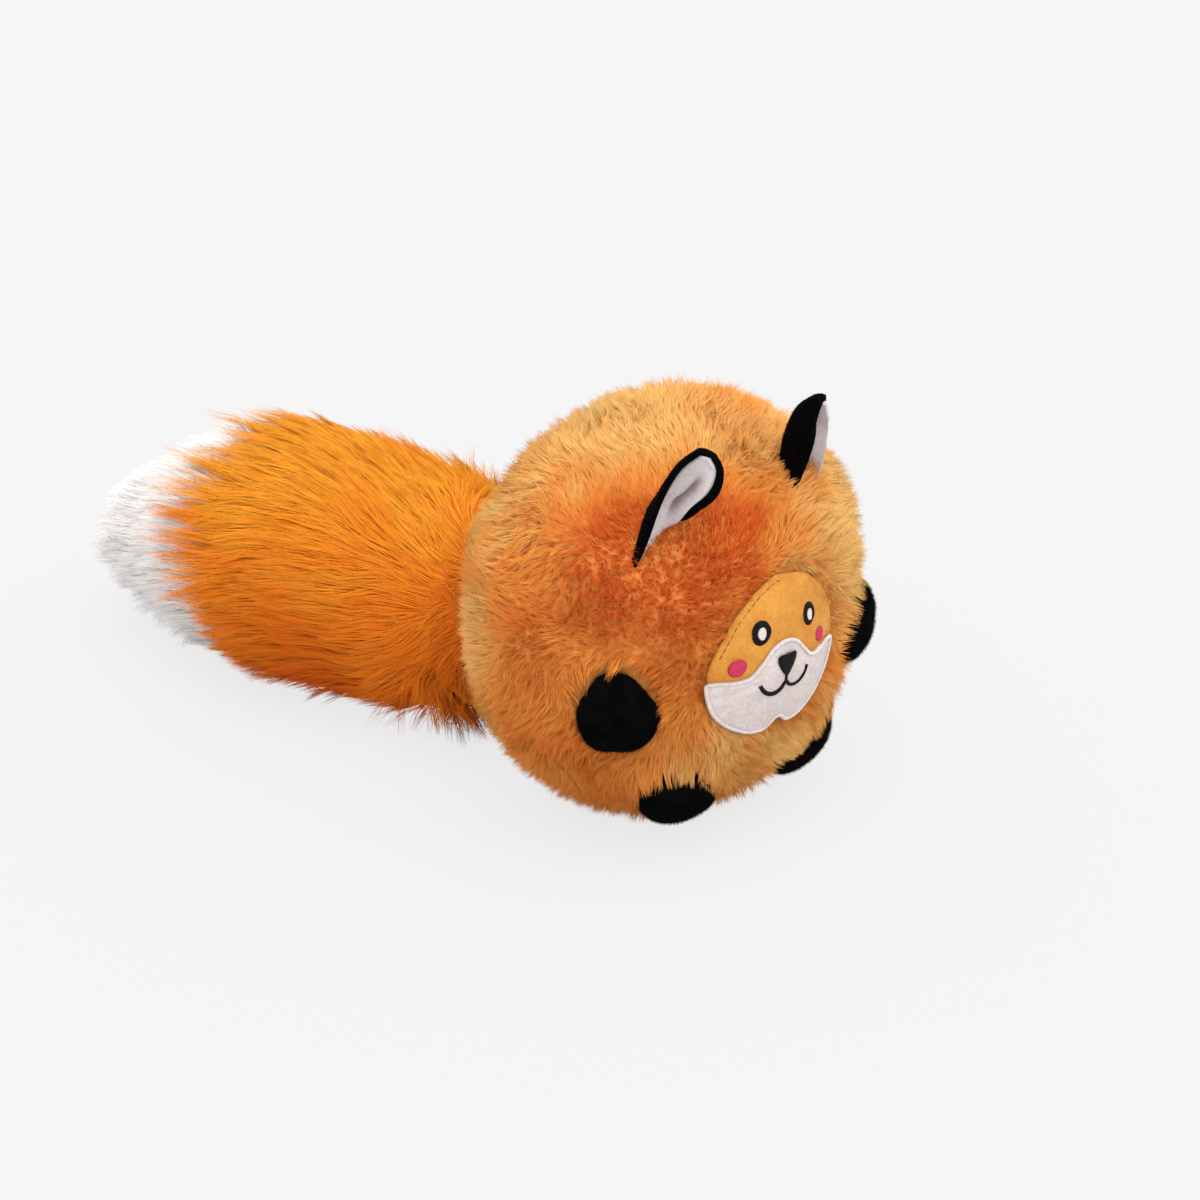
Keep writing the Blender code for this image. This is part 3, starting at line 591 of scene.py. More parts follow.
def rod_form(segments, end_radius, cuts, fullness=0.0):
    """Points and faces of a closed rod from 0 to 1 along Z, cut across that many times."""
    bm = bmesh.new()
    bmesh.ops.create_cone(
        bm, cap_ends=True, segments=segments, radius1=1.0, radius2=end_radius, depth=1.0
    )
    bmesh.ops.translate(bm, vec=(0, 0, 0.5), verts=bm.verts[:])
    bmesh.ops.remove_doubles(bm, verts=bm.verts[:], dist=1e-4)
    sides = [edge for edge in bm.edges if abs(edge.verts[0].co.z - edge.verts[1].co.z) > 0.5]
    if cuts:
        bmesh.ops.subdivide_edges(bm, edges=sides, cuts=cuts)
        bmesh.ops.triangulate(bm, faces=bm.faces[:])
    for vert in bm.verts:
        full = 1 + fullness * vert.co.z * (1 - vert.co.z) * 2
        vert.co.x *= full
        vert.co.y *= full
    bmesh.ops.recalc_face_normals(bm, faces=bm.faces[:])
    bm.verts.index_update()
    points = np.array([vert.co for vert in bm.verts])
    faces = np.array([[vert.index for vert in face.verts] for face in bm.faces])
    bm.free()
    return points, faces


def strand_form(bends):
    """A strand tapers to nothing, and is fuller than a cone, as cut fibre is."""
    return rod_form(STRAND_SIDES, 0.0, bends, fullness=0.9)


def copied_mesh(name, place, faces, values):
    """One mesh of many copies of a form: each copy's points, its faces and what points carry."""
    count, per_copy = place.shape[:2]
    first = per_copy * np.arange(count)[:, None, None]
    mesh = bpy.data.meshes.new(name)
    mesh.from_pydata(place.reshape(-1, 3), [], (faces[None] + first).reshape(-1, 3))
    mesh.shade_smooth()
    for key, value in values.items():
        layer = mesh.attributes.new(key, "FLOAT", "POINT")
        layer.data.foreach_set("value", value.astype(np.float32))
    return mesh


def curve_at(root, knee, tip, t):
    return root * (1 - t) ** 2 + knee * 2 * t * (1 - t) + tip * t**2


def unit(vectors):
    return vectors / np.maximum(np.linalg.norm(vectors, axis=-1, keepdims=True), 1e-12)


def scatter(obj, per_mm2, seed):
    """Roots spread over a skin by area: their places and outward directions."""
    mesh = obj.data
    mesh.calc_loop_triangles()
    co = points_of(mesh)
    normals = np.empty(len(mesh.vertices) * 3)
    mesh.vertices.foreach_get("normal", normals)
    normals = normals.reshape(-1, 3)
    corners = np.empty(len(mesh.loop_triangles) * 3, int)
    mesh.loop_triangles.foreach_get("vertices", corners)
    corners = corners.reshape(-1, 3)
    a, b, c = (co[corners[:, i]] for i in range(3))
    area = np.linalg.norm(np.cross(b - a, c - a), axis=1) / 2
    rng = np.random.default_rng(seed)
    count = int(area.sum() / MM**2 * per_mm2)
    pick = rng.choice(len(area), count, p=area / area.sum())
    u = np.sqrt(rng.random(count))[:, None]
    v = rng.random(count)[:, None]
    shares = (1 - u, u * (1 - v), u * v)
    root = sum(s * co[corners[pick, i]] for i, s in enumerate(shares))
    out = unit(sum(s * normals[corners[pick, i]] for i, s in enumerate(shares)))
    return root, out


def grouped_mean(values, group, count):
    total = np.stack([np.bincount(group, values[:, i], count) for i in range(values.shape[1])], 1)
    return total / np.maximum(np.bincount(group, minlength=count), 1)[:, None]


def comb(root, out, lean, length, lock, gather, stray, seed, drop=0.0, arch=0.75):
    """Bends each strand from its root to its tip, lock by lock.

    A lock is that wide. gather is how far its tips are drawn together, stray how much locks
    and strands stray from the lean, drop lowers the tips, and arch is how straight a strand
    leaves the skin.
    """
    rng = np.random.default_rng(seed)
    cell = np.floor(root / lock + rng.random(3)).astype(int)
    _, group = np.unique(cell, axis=0, return_inverse=True)
    group = group.ravel()
    count = int(group.max()) + 1
    turn = rng.normal(size=(count, 3)) * stray
    reach = rng.uniform(0.78, 1.12, count)[group] * rng.uniform(0.85, 1.1, len(root))
    heading = unit(out + lean + turn[group] + rng.normal(size=root.shape) * stray * 0.35)
    heading[:, 2] -= drop
    tip = root + unit(heading) * (length * reach)[:, None]
    middle = grouped_mean(root, group, count)[group]
    lock_tip = grouped_mean(tip, group, count)[group]
    tip = tip * (1 - gather) + (lock_tip + (root - middle) * 0.25) * gather
    knee = root + (out * arch + unit(lean + 1e-9) * (1 - arch)) * (length * reach * 0.5)[:, None]
    tint = 0.55 + 0.28 * rng.normal(size=count)[group] + 0.15 * rng.normal(size=len(root))
    return {
        "root": root, "knee": knee, "tip": tip, "out": out,
        "tint": np.clip(tint, 0, 1), "full": np.ones(len(root)),
    }


def surface_of(*names):
    """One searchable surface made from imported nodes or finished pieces."""
    points = []
    faces = []
    for name in names:
        mesh = bpy.data.objects[name].data
        start = len(points)
        points += [tuple(vert.co) for vert in mesh.vertices]
        faces += [tuple(start + i for i in polygon.vertices) for polygon in mesh.polygons]
    return BVHTree.FromPolygons(points, faces)


def push_out(places, surface, reach, gap):
    """Moves points that lie inside a closed surface, or closer than gap, out to gap in front."""
    for i, place in enumerate(places):
        spot, normal, _, distance = surface.find_nearest(Vector(place), reach)
        if spot is None:
            continue
        inside = (Vector(place) - spot).dot(normal) < 0
        if inside or distance < gap:
            places[i] = spot + normal * gap
    return places


NAP_SHADING = 0.75  # how far a strand takes its light from the whole surface and not its own side


def grow(name, strands, width, form, dye, body, slot, material):
    """The pile's mesh: the strand form, copied and bent along every curve."""
    points, faces = form
    root, knee, tip = strands["root"], strands["knee"], strands["tip"]
    count = len(root)
    rng = np.random.default_rng(len(name))
    axis = unit(tip - root)
    side = unit(np.cross(axis, rng.normal(size=(count, 3))))
    other = np.cross(axis, side)
    path = curve_at(root[:, None], knee[:, None], tip[:, None], points[:, 2][None, :, None])
    ring = side[:, None] * points[:, 0][None, :, None]
    ring = ring + other[:, None] * points[:, 1][None, :, None]
    place = path + ring * (width * strands["full"])[:, None, None]
    place[..., 2] = np.maximum(place[..., 2], FLOOR_LEVEL)
    mesh = copied_mesh(name, place, faces, {
        "along": np.tile(points[:, 2], count),
        "tint": np.repeat(strands["tint"], len(points)),
        "dye": np.repeat(np.broadcast_to(dye, (count,)), len(points)),
    })
    facing = strands["out"][:, None] * NAP_SHADING + unit(ring) * (1 - NAP_SHADING)
    mesh.normals_split_custom_set_from_vertices(unit(facing).reshape(-1, 3))
    mesh.materials.append(material)
    obj = new_object(name, mesh)
    attach(obj, body, slot)
    print(name, count, "strands,", count * len(faces), "triangles")
    return obj


def chosen(strands, keep):
    return {key: value[keep] for key, value in strands.items()}


def grow_parts(prefix, labels, region, strands, width, form, dye, body, slot, material):
    """Grows a pile in parts, so that no single mesh gets too heavy."""
    for index, label in enumerate(labels):
        part = region == index
        kept = chosen(strands, part)
        grow(f"{prefix}_{label}", kept, width, form, dye[part], body, slot, material)


SHORT = strand_form(0)
BENT = strand_form(1)
LONG = strand_form(2)
print("triangles in a strand:", len(SHORT[1]), len(BENT[1]), len(LONG[1]))

# %% [markdown]
# ## Paws
# Each paw is a flat egg of short black plush, two panels sewn round the rim. The seam pulls
# the rim in, and a fine nap catches the light along the edges.

# %% Paws
PAW_HALF = Vector((10.2, 11.7, 6.2)) * MM
PAW_TAPER = 0.24
# Azimuth, height and turn in degrees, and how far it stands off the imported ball, millimetres
PAW_PLACES = {
    "arm_right": (-53.5, -7.5, 8.0, 1.0),
    "arm_left": (53.0, -8.0, -8.0, -0.8),
    "foot_right": (-36.5, -45.0, 62.0, 1.6),
    "foot_left": (37.4, -44.5, -62.0, 1.0),
}


def ball_frame(azimuth, height, rise):
    """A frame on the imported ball: X level, Y up along it, Z straight out."""
    way = direction_from(math.radians(azimuth), math.radians(height))
    reach = 1 / math.sqrt(sum((way[i] / CAD_HALF[i]) ** 2 for i in range(3)))
    spot = way * reach
    out = Vector([spot[i] / CAD_HALF[i] ** 2 for i in range(3)]).normalized()
    level = Vector((0, 0, 1)).cross(out).normalized()
    turn = Matrix((level, out.cross(level), out)).transposed().to_4x4()
    return Matrix.Translation(BALL + spot + out * rise) @ turn


def paw_frame(azimuth, height, turn, rise=0.0):
    return ball_frame(azimuth, height, rise) @ Matrix.Rotation(math.radians(turn), 4, "Z")


def paw_form(name, place):
    bm = bmesh.new()
    bmesh.ops.create_uvsphere(bm, u_segments=48, v_segments=32, radius=1.0)
    for vert in bm.verts:
        flat = math.hypot(vert.co.x, vert.co.y)
        # Straighter runs between the corners of the cut, and the seam's pull at the rim
        angle = math.atan2(vert.co.y, vert.co.x)
        cut = 1 + 0.025 * math.cos(6 * angle + 0.6) * flat
        pull = 1 - 0.03 * math.exp(-((vert.co.z / 0.10) ** 2))
        vert.co.x *= cut * pull * (1 - PAW_TAPER * vert.co.y)
        vert.co.y *= cut * pull
        vert.co.z *= 1 - 0.25 * flat**6
    bmesh.ops.scale(bm, vec=PAW_HALF - Vector((1, 1, 1)) * 0.4 * MM, verts=bm.verts[:])
    bm.normal_update()
    lumps(bm, 7 * MM, 0.35 * MM, len(name))
    bmesh.ops.transform(bm, matrix=place, verts=bm.verts[:])
    return mesh_object(name, bm)


BLACK = (0.0015, 0.0015, 0.0018)
BLACK_PLUSH = cloth_material(
    "black_plush", BLACK, (0.003, 0.003, 0.0032),
    grain=1400, bump=0.00025, roughness=0.95, sheen=0.0, specular=0.02,
)
BLACK_NAP = pile_material("black_nap", (BLACK, (0.004, 0.004, 0.0042)), specular=0.02)
NAP_WIDTH = 0.05 * MM
NAP_LOCK = 0.8 * MM


def add_nap(name, obj, per_mm2, length, body, bare=None, seed=5):
    """Short cut nap on a cloth piece, except where it is covered by the piece called bare."""
    root, out = scatter(obj, per_mm2, seed)
    if bare:
        cover = surface_of(bare.name)
        keep = np.array([cover.find_nearest(Vector(place), 1.3 * MM)[0] is None for place in root])
        keep &= np.linalg.norm((root - np.array(BALL)) / np.array(CAD_HALF), axis=1) > 1.03
        root, out = root[keep], out[keep]
    lean = np.random.default_rng(seed).normal(size=root.shape) * 0.3
    lengths = np.full(len(root), length)
    strands = comb(root - out * 0.1 * MM, out, lean, lengths, NAP_LOCK, 0.35, 0.15, seed)
    return grow(name, strands, NAP_WIDTH, SHORT, 0.5, body, "black_plush", BLACK_NAP)


def build_paw(name, azimuth, height, turn, rise):
    form = paw_form(f"{name}_plush", paw_frame(azimuth, height, turn, rise * MM))
    paw = stuff(form, 0.9 * MM, 0.5 * MM, 2.0)
    paw.data.materials.append(BLACK_PLUSH)
    attach(paw, name, "black_plush", f"{name}_cover", f"{name}_fill")
    add_nap(f"{name}_nap", paw, 5.0, 0.9 * MM, name, seed=len(name))
    return paw


PAWS = {name: build_paw(name, *place) for name, place in PAW_PLACES.items()}

# %% [markdown]
# ## Ears
# An ear is two leaves sewn together and turned: black plush behind, a pale short-nap lining in
# front. Its base is sewn on along a bow, so the leaf stands as a cup that opens to the front.
# The two rims of the cup are the lines that the eye reads, so they are given as points, and
# the leaf is stretched between them and bowed back.

# %% Ear rims
# Rims and bow depths run from base to tip, in millimetres. turn leans the bow to the outside,
# fold is the crease's depth, mouth is how much shorter the pile in front of the base is, margins
# are left free by the lining at base and tip, and flat and area are the lining's, in metres
EARS = {
    "right": {
        "outer": (
            (-32.2, -27.1, 83.4), (-30.8, -30.2, 92.3), (-29.4, -32.2, 98.7),
            (-28.2, -34.5, 104.6), (-26.3, -36.8, 109.6), (-23.5, -39.8, 113.2),
        ),
        "inner": (
            (-19.8, -27.3, 92.8), (-21.5, -35.6, 97.6), (-21.7, -40.9, 101.7),
            (-21.4, -43.0, 105.6), (-20.9, -43.0, 109.5), (-21.8, -41.4, 112.8),
        ),
        "bow": (1.5, 6.5, 5.5, 1.2),
        "turn": 0.45,
        "fold": 1.1,
        "mouth": 0.5,
        "margins": ((2.6, 1.2), (1.7, 0.3)),
        "flat": (0.0130, 0.0320),
        "area": 0.000296,
    },
    "left": {
        "outer": (
            (34.3, -26.4, 90.1), (29.5, -29.2, 96.8), (25.2, -30.6, 102.3),
            (21.8, -33.2, 107.8), (19.1, -36.3, 112.9), (17.1, -38.5, 116.3),
        ),
        "inner": (
            (21.9, -32.5, 93.4), (20.2, -34.4, 99.4), (18.7, -35.0, 104.3),
            (17.3, -36.0, 109.0), (16.7, -37.5, 113.0), (16.7, -38.8, 116.2),
        ),
        "bow": (10.0, 8.2, 5.0, 0.8),
        "turn": 0.0,
        "fold": 0.0,
        "mouth": -1.0,
        "margins": ((-0.5, -0.5), (0.5, 0.5)),
        "flat": (0.0190, 0.0330),
        "area": 0.000465,
    },
}
EAR_WRAP = math.radians(78)
EAR_BACK = 1.5 * MM
EAR_LINING = 0.9 * MM
EAR_BASE_HALF = (52.0, 41.0, 52.0)


def rims_at(ear, share):
    """The points of the outer and the inner rim at a share of the way from base to tip."""
    share = min(max(share, 0), 1)
    points = []
    for rim in (ear["outer line"], ear["inner line"]):
        places = share * (len(rim) - 1)
        points.append(Vector([float(np.interp(places, range(len(rim)), rim[:, k])) for k in range(3)]))
    return points


def ear_crease(across, share):
    rise, fall = smoothstep((share - 0.1) / 0.2), smoothstep((0.78 - share) / 0.3)
    return math.exp(-(((across - 0.36) / 0.16) ** 2)) * rise * fall


def ear_point(ear, across, share):
    """A point of the leaf: across from the outer rim, -1, to the inner one, 1."""
    outer, inner = rims_at(ear, share)
    ahead = sum(rims_at(ear, share + 0.03), Vector())
    behind = sum(rims_at(ear, share - 0.03), Vector())
    half = (inner - outer) / 2
    back = half.cross(ahead - behind).normalized()
    back *= 1 if back.y > 0 else -1
    back = (back - half.normalized() * ear["turn"]).normalized()
    depth = float(np.interp(share, np.linspace(0, 1, len(ear["bow"])), ear["bow"])) * MM
    wrap = EAR_WRAP * across
    bow = depth * (math.cos(wrap) - math.cos(EAR_WRAP)) / (1 - math.cos(EAR_WRAP))
    place = (outer + inner) / 2 + half * math.sin(wrap) / math.sin(EAR_WRAP)
    place += back * bow
    # The inner side is creased lengthwise, and the crease dies out towards the tip
    place += back * ear_crease(across, share) * ear["fold"] * MM
    # The base follows the ball, just under the pile
    offset = place - BALL
    size = math.sqrt(sum((offset[i] / (EAR_BASE_HALF[i] * MM)) ** 2 for i in range(3)))
    seated = BALL + offset / size
    return place.lerp(seated, (1 - min(share / 0.55, 1)) ** 2)


for ear in EARS.values():
    for rim in ("outer", "inner"):
        ear[f"{rim} line"] = smooth_loop(np.array(ear[rim]) * MM, 8, closed=False)
    reach = np.linalg.norm(np.ptp(ear["outer line"], axis=0))
    print("ear's length, millimetres:", round(reach / MM, 1))

# %% Ear leaves
EAR_CLOTH = cloth_material(
    "ear_lining", (0.76, 0.69, 0.70), (0.66, 0.59, 0.60), grain=1100, bump=0.0002, sheen=0.05
)


def paint_crease_shade(material):
    """Painted shade: deep in the crease the lining is painted darker."""
    tree = material.node_tree
    base = tree.nodes["Principled BSDF"].inputs["Base Color"]
    lit = base.links[0].from_socket
    shade = mix_colour(tree, attribute(tree, "hollow"), (1, 1, 1), (0.34, 0.28, 0.28))
    tree.links.new(shaded(tree, lit, shade), base)


paint_crease_shade(EAR_CLOTH)


def ear_leaf(name, ear, shares, margins, start, thickness):
    """A leaf of cloth with a rounded rim. It lies start in front of the sewn surface."""
    bm = bmesh.new()
    bmesh.ops.create_grid(bm, x_segments=24, y_segments=30, size=1.0)
    hollow = bm.verts.layers.float.new("hollow")
    low, high = shares
    for vert in bm.verts:
        share = low + (high - low) * math.sin((vert.co.y + 1) / 2 * math.pi / 2)
        outer, inner = rims_at(ear, share)
        width = (inner - outer).length
        edge = [1 - 2 * (a + (b - a) * share) * MM / max(width, 4 * MM) for a, b in margins]
        across = math.sin(vert.co.x * 1.25) / math.sin(1.25)
        across *= edge[0] if across < 0 else edge[1]
        vert.co = ear_point(ear, across, share)
        # How deep in the crease a point lies, for the lining's painted shade
        vert[hollow] = ear_crease(across - 0.06, share) * min(ear["fold"], 1)
    bm.normal_update()
    if sum(face.normal.y for face in bm.faces) > 0:
        bmesh.ops.reverse_faces(bm, faces=bm.faces[:])
    bm.normal_update()
    for vert in bm.verts:
        vert.co += vert.normal * start
    bmesh.ops.solidify(bm, geom=bm.faces[:], thickness=thickness)
    bmesh.ops.recalc_face_normals(bm, faces=bm.faces[:])
    leaf = mesh_object(name, bm)
    bevel = leaf.modifiers.new("turned rim", "BEVEL")
    bevel.width = thickness * 0.42
    bevel.segments = 3
    bevel.limit_method = "ANGLE"
    bevel.angle_limit = math.radians(50)
    return apply_modifiers(leaf)


def build_ear(side_name, ear):
    body = f"ear_{side_name}"
    back = ear_leaf(f"{body}_plush", ear, (0.0, 1.0), ((0, 0), (0, 0)), 0.0, EAR_BACK)
    back.data.materials.append(BLACK_PLUSH)
    attach(back, body, "black_plush", f"ear_back_{side_name}")
    name = f"{body}_lining_cloth"
    start = EAR_LINING - 0.15 * MM
    lining = ear_leaf(name, ear, (0.0, 0.95), ear["margins"], start, EAR_LINING)
    lining.data.materials.append(EAR_CLOTH)
    attach(lining, body, "ear_lining", f"ear_lining_{side_name}")
    add_nap(f"{body}_nap", back, 4.0, 0.5 * MM, body, bare=lining, seed=len(side_name))
    return back, lining


EAR_PIECES = [piece for side_name, ear in EARS.items() for piece in build_ear(side_name, ear)]

# %% [markdown]
# ## The body's pile
# Medium plush: strands of about six millimetres that stand well up and lean away from the
# face and down. Handling has crushed it into swirls, so a slow noise turns the lean from place
# to place. The pile is clipped short round the face, and what grows under a paw is left out.

# %% Dyes of the body's pile, with painted light and shade
BODY_DYES = ((0.98, 0.59, 0.20), (0.93, 0.34, 0.066), (0.73, 0.135, 0.020))
BODY_PILE = pile_material("orange_pile", BODY_DYES)
ORANGE_BACKING = cloth_material("orange_backing", (0.95, 0.38, 0.09), (0.88, 0.32, 0.07), 700)
# Where the pile is deeper or paler: place in millimetres, reach, and by how much. Partly the
# pile's own patches of dye, and partly painted light and shade: paler on the crown, under the
# overhead lamp, paler where the pile faces away from the lamps or lies in shade beside the
# face, to lift that shade, and deeper where the light leaves it darker
DYE_AND_PAINTED_LIGHT_ZONES = (
    ((-22, -35, 84), 24, 0.58),
    ((-38, -22, 88), 24, 0.36),
    ((-6, -37, 88), 18, 0.45),
    ((-32, -36, 67), 18, 0.16),
    ((-42, -20, 32), 24, 0.18),
    ((-28, -16, 100), 13, 0.34),
    ((-39, -22, 85), 12, 0.26),
    ((-8, -37, 86), 12, 0.14),
    ((-49, -19, 71), 14, -0.08),
    ((-30, -34, 84), 10, 0.12),
    ((-50, 0, 76), 14, 0.14),
    ((-22, -31, 92), 8, 0.18),
    ((-11, -4, 112), 36, -0.50),
    ((-38, -8, 100), 20, -0.30),
    ((40, -25, 75), 34, -0.62),
    ((-54, 6, 62), 12, -0.40),
    ((-12, -40, 80), 8, -0.35),
    ((3, -41, 82), 8, -0.30),
    ((10, -35, 19), 20, -0.40),
    ((-22, -37, 28), 14, -0.30),
    ((-10, -40, 36), 14, -0.45),
    ((-20, -20, 106), 22, -0.25),
)
BASE_DYE = 0.5


def slow_noise(places, size, seed):
    """A smooth vector for each place, that changes over about size."""
    rng = np.random.default_rng(seed)
    result = np.zeros_like(places)
    for _ in range(6):
        waves = rng.normal(size=(3, 3)) / size
        phase = rng.uniform(0, 2 * math.pi, 3)
        result += np.sin(places @ waves + phase)
    return result / 3


def body_dye_and_painted_light(places):
    # The pile's own dye, with the painted light and shade of the zones on top
    dye = np.full(len(places), BASE_DYE)
    for spot, reach, change in DYE_AND_PAINTED_LIGHT_ZONES:
        distance = np.linalg.norm(places - np.array(spot) * MM, axis=1) / (reach * MM)
        dye += change * np.exp(-(distance**2) * 1.5)
    dye += 0.13 * slow_noise(places, 5 * MM, 5)[:, 0] + 0.09 * slow_noise(places, 2.2 * MM, 6)[:, 0]
    return np.clip(dye, 0, 1)


print("dye zones:", len(DYE_AND_PAINTED_LIGHT_ZONES))

# %% Growing the body's pile
PILE_LENGTH = 6.0 * MM
BODY_DENSITY = 3.6
REAR_DENSITY = BODY_DENSITY * 0.80
FOOT_DENSITY = 9.0
STRAND = 0.135 * MM
BODY_LOCK = 1.3 * MM
ROOT_DEPTH = 0.3 * MM  # how deep a strand starts below the skin


def tangent(vectors, out):
    return vectors - out * (vectors * out).sum(1, keepdims=True)


PAW_FRAMES = {name: paw_frame(*place[:3]) for name, place in PAW_PLACES.items()}
PAW_CENTRES = {name: place.translation for name, place in PAW_FRAMES.items()}
FOOT_CENTRES = [PAW_CENTRES["foot_right"], PAW_CENTRES["foot_left"]]
EAR_CENTRES = [(ear_point(ear, 0, 0.3) + ear_point(ear, 0, 0.0)) / 2 for ear in EARS.values()]


def ear_mouths(root):
    """How much shorter the pile is in the mouth of an ear, as a share. Below 0 it is longer."""
    result = np.zeros(len(root))
    for ear in EARS.values():
        outer = np.array(ear_point(ear, -1, 0))
        inner = np.array(ear_point(ear, 1, 0))
        run = inner - outer
        share = np.clip((root - outer) @ run / (run @ run), 0, 1)
        near_line = outer + share[:, None] * run - np.array([0, 2.0, 1.0]) * MM
        distance = np.linalg.norm(root - near_line, axis=1)
        result = np.maximum(result, ear["mouth"] * np.exp(-((distance / (4 * MM)) ** 2)))
    return result


def near_seam(root, reach):
    return np.exp(-(((root[:, 1] - SEAM_Y) / reach) ** 2))


def thick_roots(skin, seed):
    """Above each foot the pile is thicker, and falls over it."""
    root, out = scatter(skin, FOOT_DENSITY, seed)
    over = np.zeros(len(root), bool)
    for centre in FOOT_CENTRES:
        distance = np.linalg.norm(root - np.array(centre), axis=1)
        over |= (distance < 15.5 * MM) & (root[:, 2] > centre.z + 1 * MM)
    return root[over], out[over]


def body_strands(skin, density, seed):
    scattered = (scatter(skin, density, seed), thick_roots(skin, seed + 50))
    root, out = (np.concatenate(values) for values in zip(*scattered))
    # Nothing grows on the cut inside the ball, nor on the face
    inner = np.abs(root[:, 1] - SEAM_Y) < 0.35 * MM
    rim = np.linalg.norm((root - np.array(BALL)) / np.array(SKIN_HALF), axis=1) > 0.93
    x, z, front = on_face(root)
    keep = (~inner | rim) & ~(front & inside_loop(x, z, widened(PANEL, -0.2 * MM)))
    root, out = root[keep], out[keep]
    x, z, front = on_face(root)
    face = np.array([FACE_SHIFT, -30 * MM, BALL.z])
    away = unit(root - face)
    away[:, 2] -= 0.35
    edge = np.zeros(len(root))
    for distance in (0.8, 1.6, 2.6, 3.8):
        edge += front & inside_loop(x, z, widened(PANEL, distance * MM))
    # Round the face the pile stands up, and on its left side it falls over the panel's edge
    over = edge * np.clip((x - 6 * MM) / (8 * MM), 0, 1)
    lean = tangent(unit(away), out) * (0.5 - 0.14 * edge - 0.22 * over)[:, None]
    lean += tangent(slow_noise(root, 5.5 * MM, 11), out) * 0.7
    lean += tangent(slow_noise(root, 2.2 * MM, 12), out) * 0.16
    length = PILE_LENGTH * (1 - 0.09 * (edge - over))
    length *= 1 - ear_mouths(root)
    # It also falls a little over the rims of the paws, and is longer over the feet
    for name, centre in PAW_CENTRES.items():
        longer = 0.4 if name.startswith("foot") else 0.0
        towards = np.array(centre)[None] - root
        distance = np.linalg.norm(towards, axis=1)
        rim = np.clip((16.5 * MM - distance) / (4 * MM), 0, 1)
        above = np.clip(0.6 + (root[:, 2] - centre.z) / (12 * MM), 0.1, 1.1)
        lean += tangent(unit(towards), out) * (1.5 * rim * above)[:, None]
        length = length * (1 + longer * rim * above)
    # The pile is clipped short and lies open along the seam
    length *= 1 - 0.45 * near_seam(root, 1.6 * MM)
    strands = comb(root - out * ROOT_DEPTH, out, lean, length, BODY_LOCK, 0.30, 0.26, seed)
    return strands, root


FULL_OVER_PAWS = 1.6
# How far the pile may lie over each paw, as a share of the paw's half width
PAW_COVER = {"arm_right": 0.14, "arm_left": 0.20, "foot_right": 0.20, "foot_left": 0.26}


def trim_at_paws(strands, dye):
    """Leaves out what grows under a paw, and trims what would reach too far over one."""
    keep = np.ones(len(dye), bool)
    uneven = np.clip(slow_noise(strands["root"], 1.5 * MM, 8)[:, 0], -1, 1)
    for name, place in PAW_FRAMES.items():
        local = np.array(place.inverted())
        flat = {key: strands[key] @ local[:3, :3].T + local[:3, 3] for key in ("root", "tip")}
        share = {
            key: np.hypot(spot[:, 0] / PAW_HALF.x, spot[:, 1] / PAW_HALF.y)
            for key, spot in flat.items()
        }
        near_it = (np.abs(flat["root"][:, 2]) < 12 * MM) & (share["root"] < 2.5)
        offset = strands["tip"] - np.array(place.translation)
        above = np.clip(0.35 + unit(offset)[:, 2], 0, 1.2) / 1.2
        limit = 0.97 - PAW_COVER[name] * above - 0.10 * uneven
        keep &= ~(near_it & (share["root"] < np.minimum(limit + 0.12, 0.95)))
        kept_share = (share["root"] - limit) / np.maximum(share["root"] - share["tip"], 1e-6)
        short = near_it & (share["tip"] < limit)
        factor = np.where(short, np.clip(kept_share, 0.15, 1), 1)[:, None]
        for key in ("knee", "tip"):
            strands[key] = strands["root"] + (strands[key] - strands["root"]) * factor
        # What lies over a paw is fuller, so that less black shows through
        strands["full"] = np.where(near_it & (share["tip"] < 1.05), FULL_OVER_PAWS, strands["full"])
    return chosen(strands, keep), dye[keep]


def near_any(strands, centres, reach):
    close = np.zeros(len(strands["root"]), bool)
    for centre in centres:
        close |= np.linalg.norm(strands["root"] - np.array(centre)[None], axis=1) < reach
    return np.flatnonzero(close)


def clear_of(strands, surface, centres, reach):
    """Pushes the strands that grow within reach of a trim out of it."""
    index = near_any(strands, centres, reach)
    for key in ("knee", "tip"):
        strands[key][index] = push_out(strands[key][index], surface, 5 * MM, 0.35 * MM)


def lay_over(strands, surface, centres, reach):
    """Lifts the strands that would run through a trim, so that they lie over it."""
    for i in near_any(strands, centres, reach):
        out = Vector(strands["out"][i])
        root, knee, tip = (Vector(strands[key][i]) for key in ("root", "knee", "tip"))

        def rise(place, gap):
            hit, normal, _, _ = surface.ray_cast(place, out, 14 * MM)
            return (hit - place).dot(out) + gap if hit is not None and normal.dot(out) > 0 else 0.0

        tip += out * rise(tip, 0.4 * MM)
        lift = 0.0
        for t in (0.4, 0.6, 0.8):
            middle = curve_at(root, knee, tip, t)
            lift = max(lift, rise(middle, 0.3 * MM) / (2 * t * (1 - t)))
        strands["knee"][i] = knee + out * min(lift, 6 * MM)
        strands["tip"][i] = tip


ears = surface_of(*[piece.name for piece in EAR_PIECES])
paws = surface_of(*[paw.name for paw in PAWS.values()])
FRONT_PARTS = ("crown_right", "crown_left", "belly_right", "belly_left")
REAR_PARTS = ("upper_right", "upper_left", "lower_right", "lower_left")


def grow_body(prefix, labels, strands, root, dye, level):
    """Grows a body panel's pile in four parts, split at the middle and at a level."""
    quarter = (root[:, 0] > 0).astype(int) + 2 * (root[:, 2] < level)
    look = (STRAND, BENT, dye, "body", "orange_plush", BODY_PILE)
    grow_parts(prefix, labels, quarter, strands, *look)


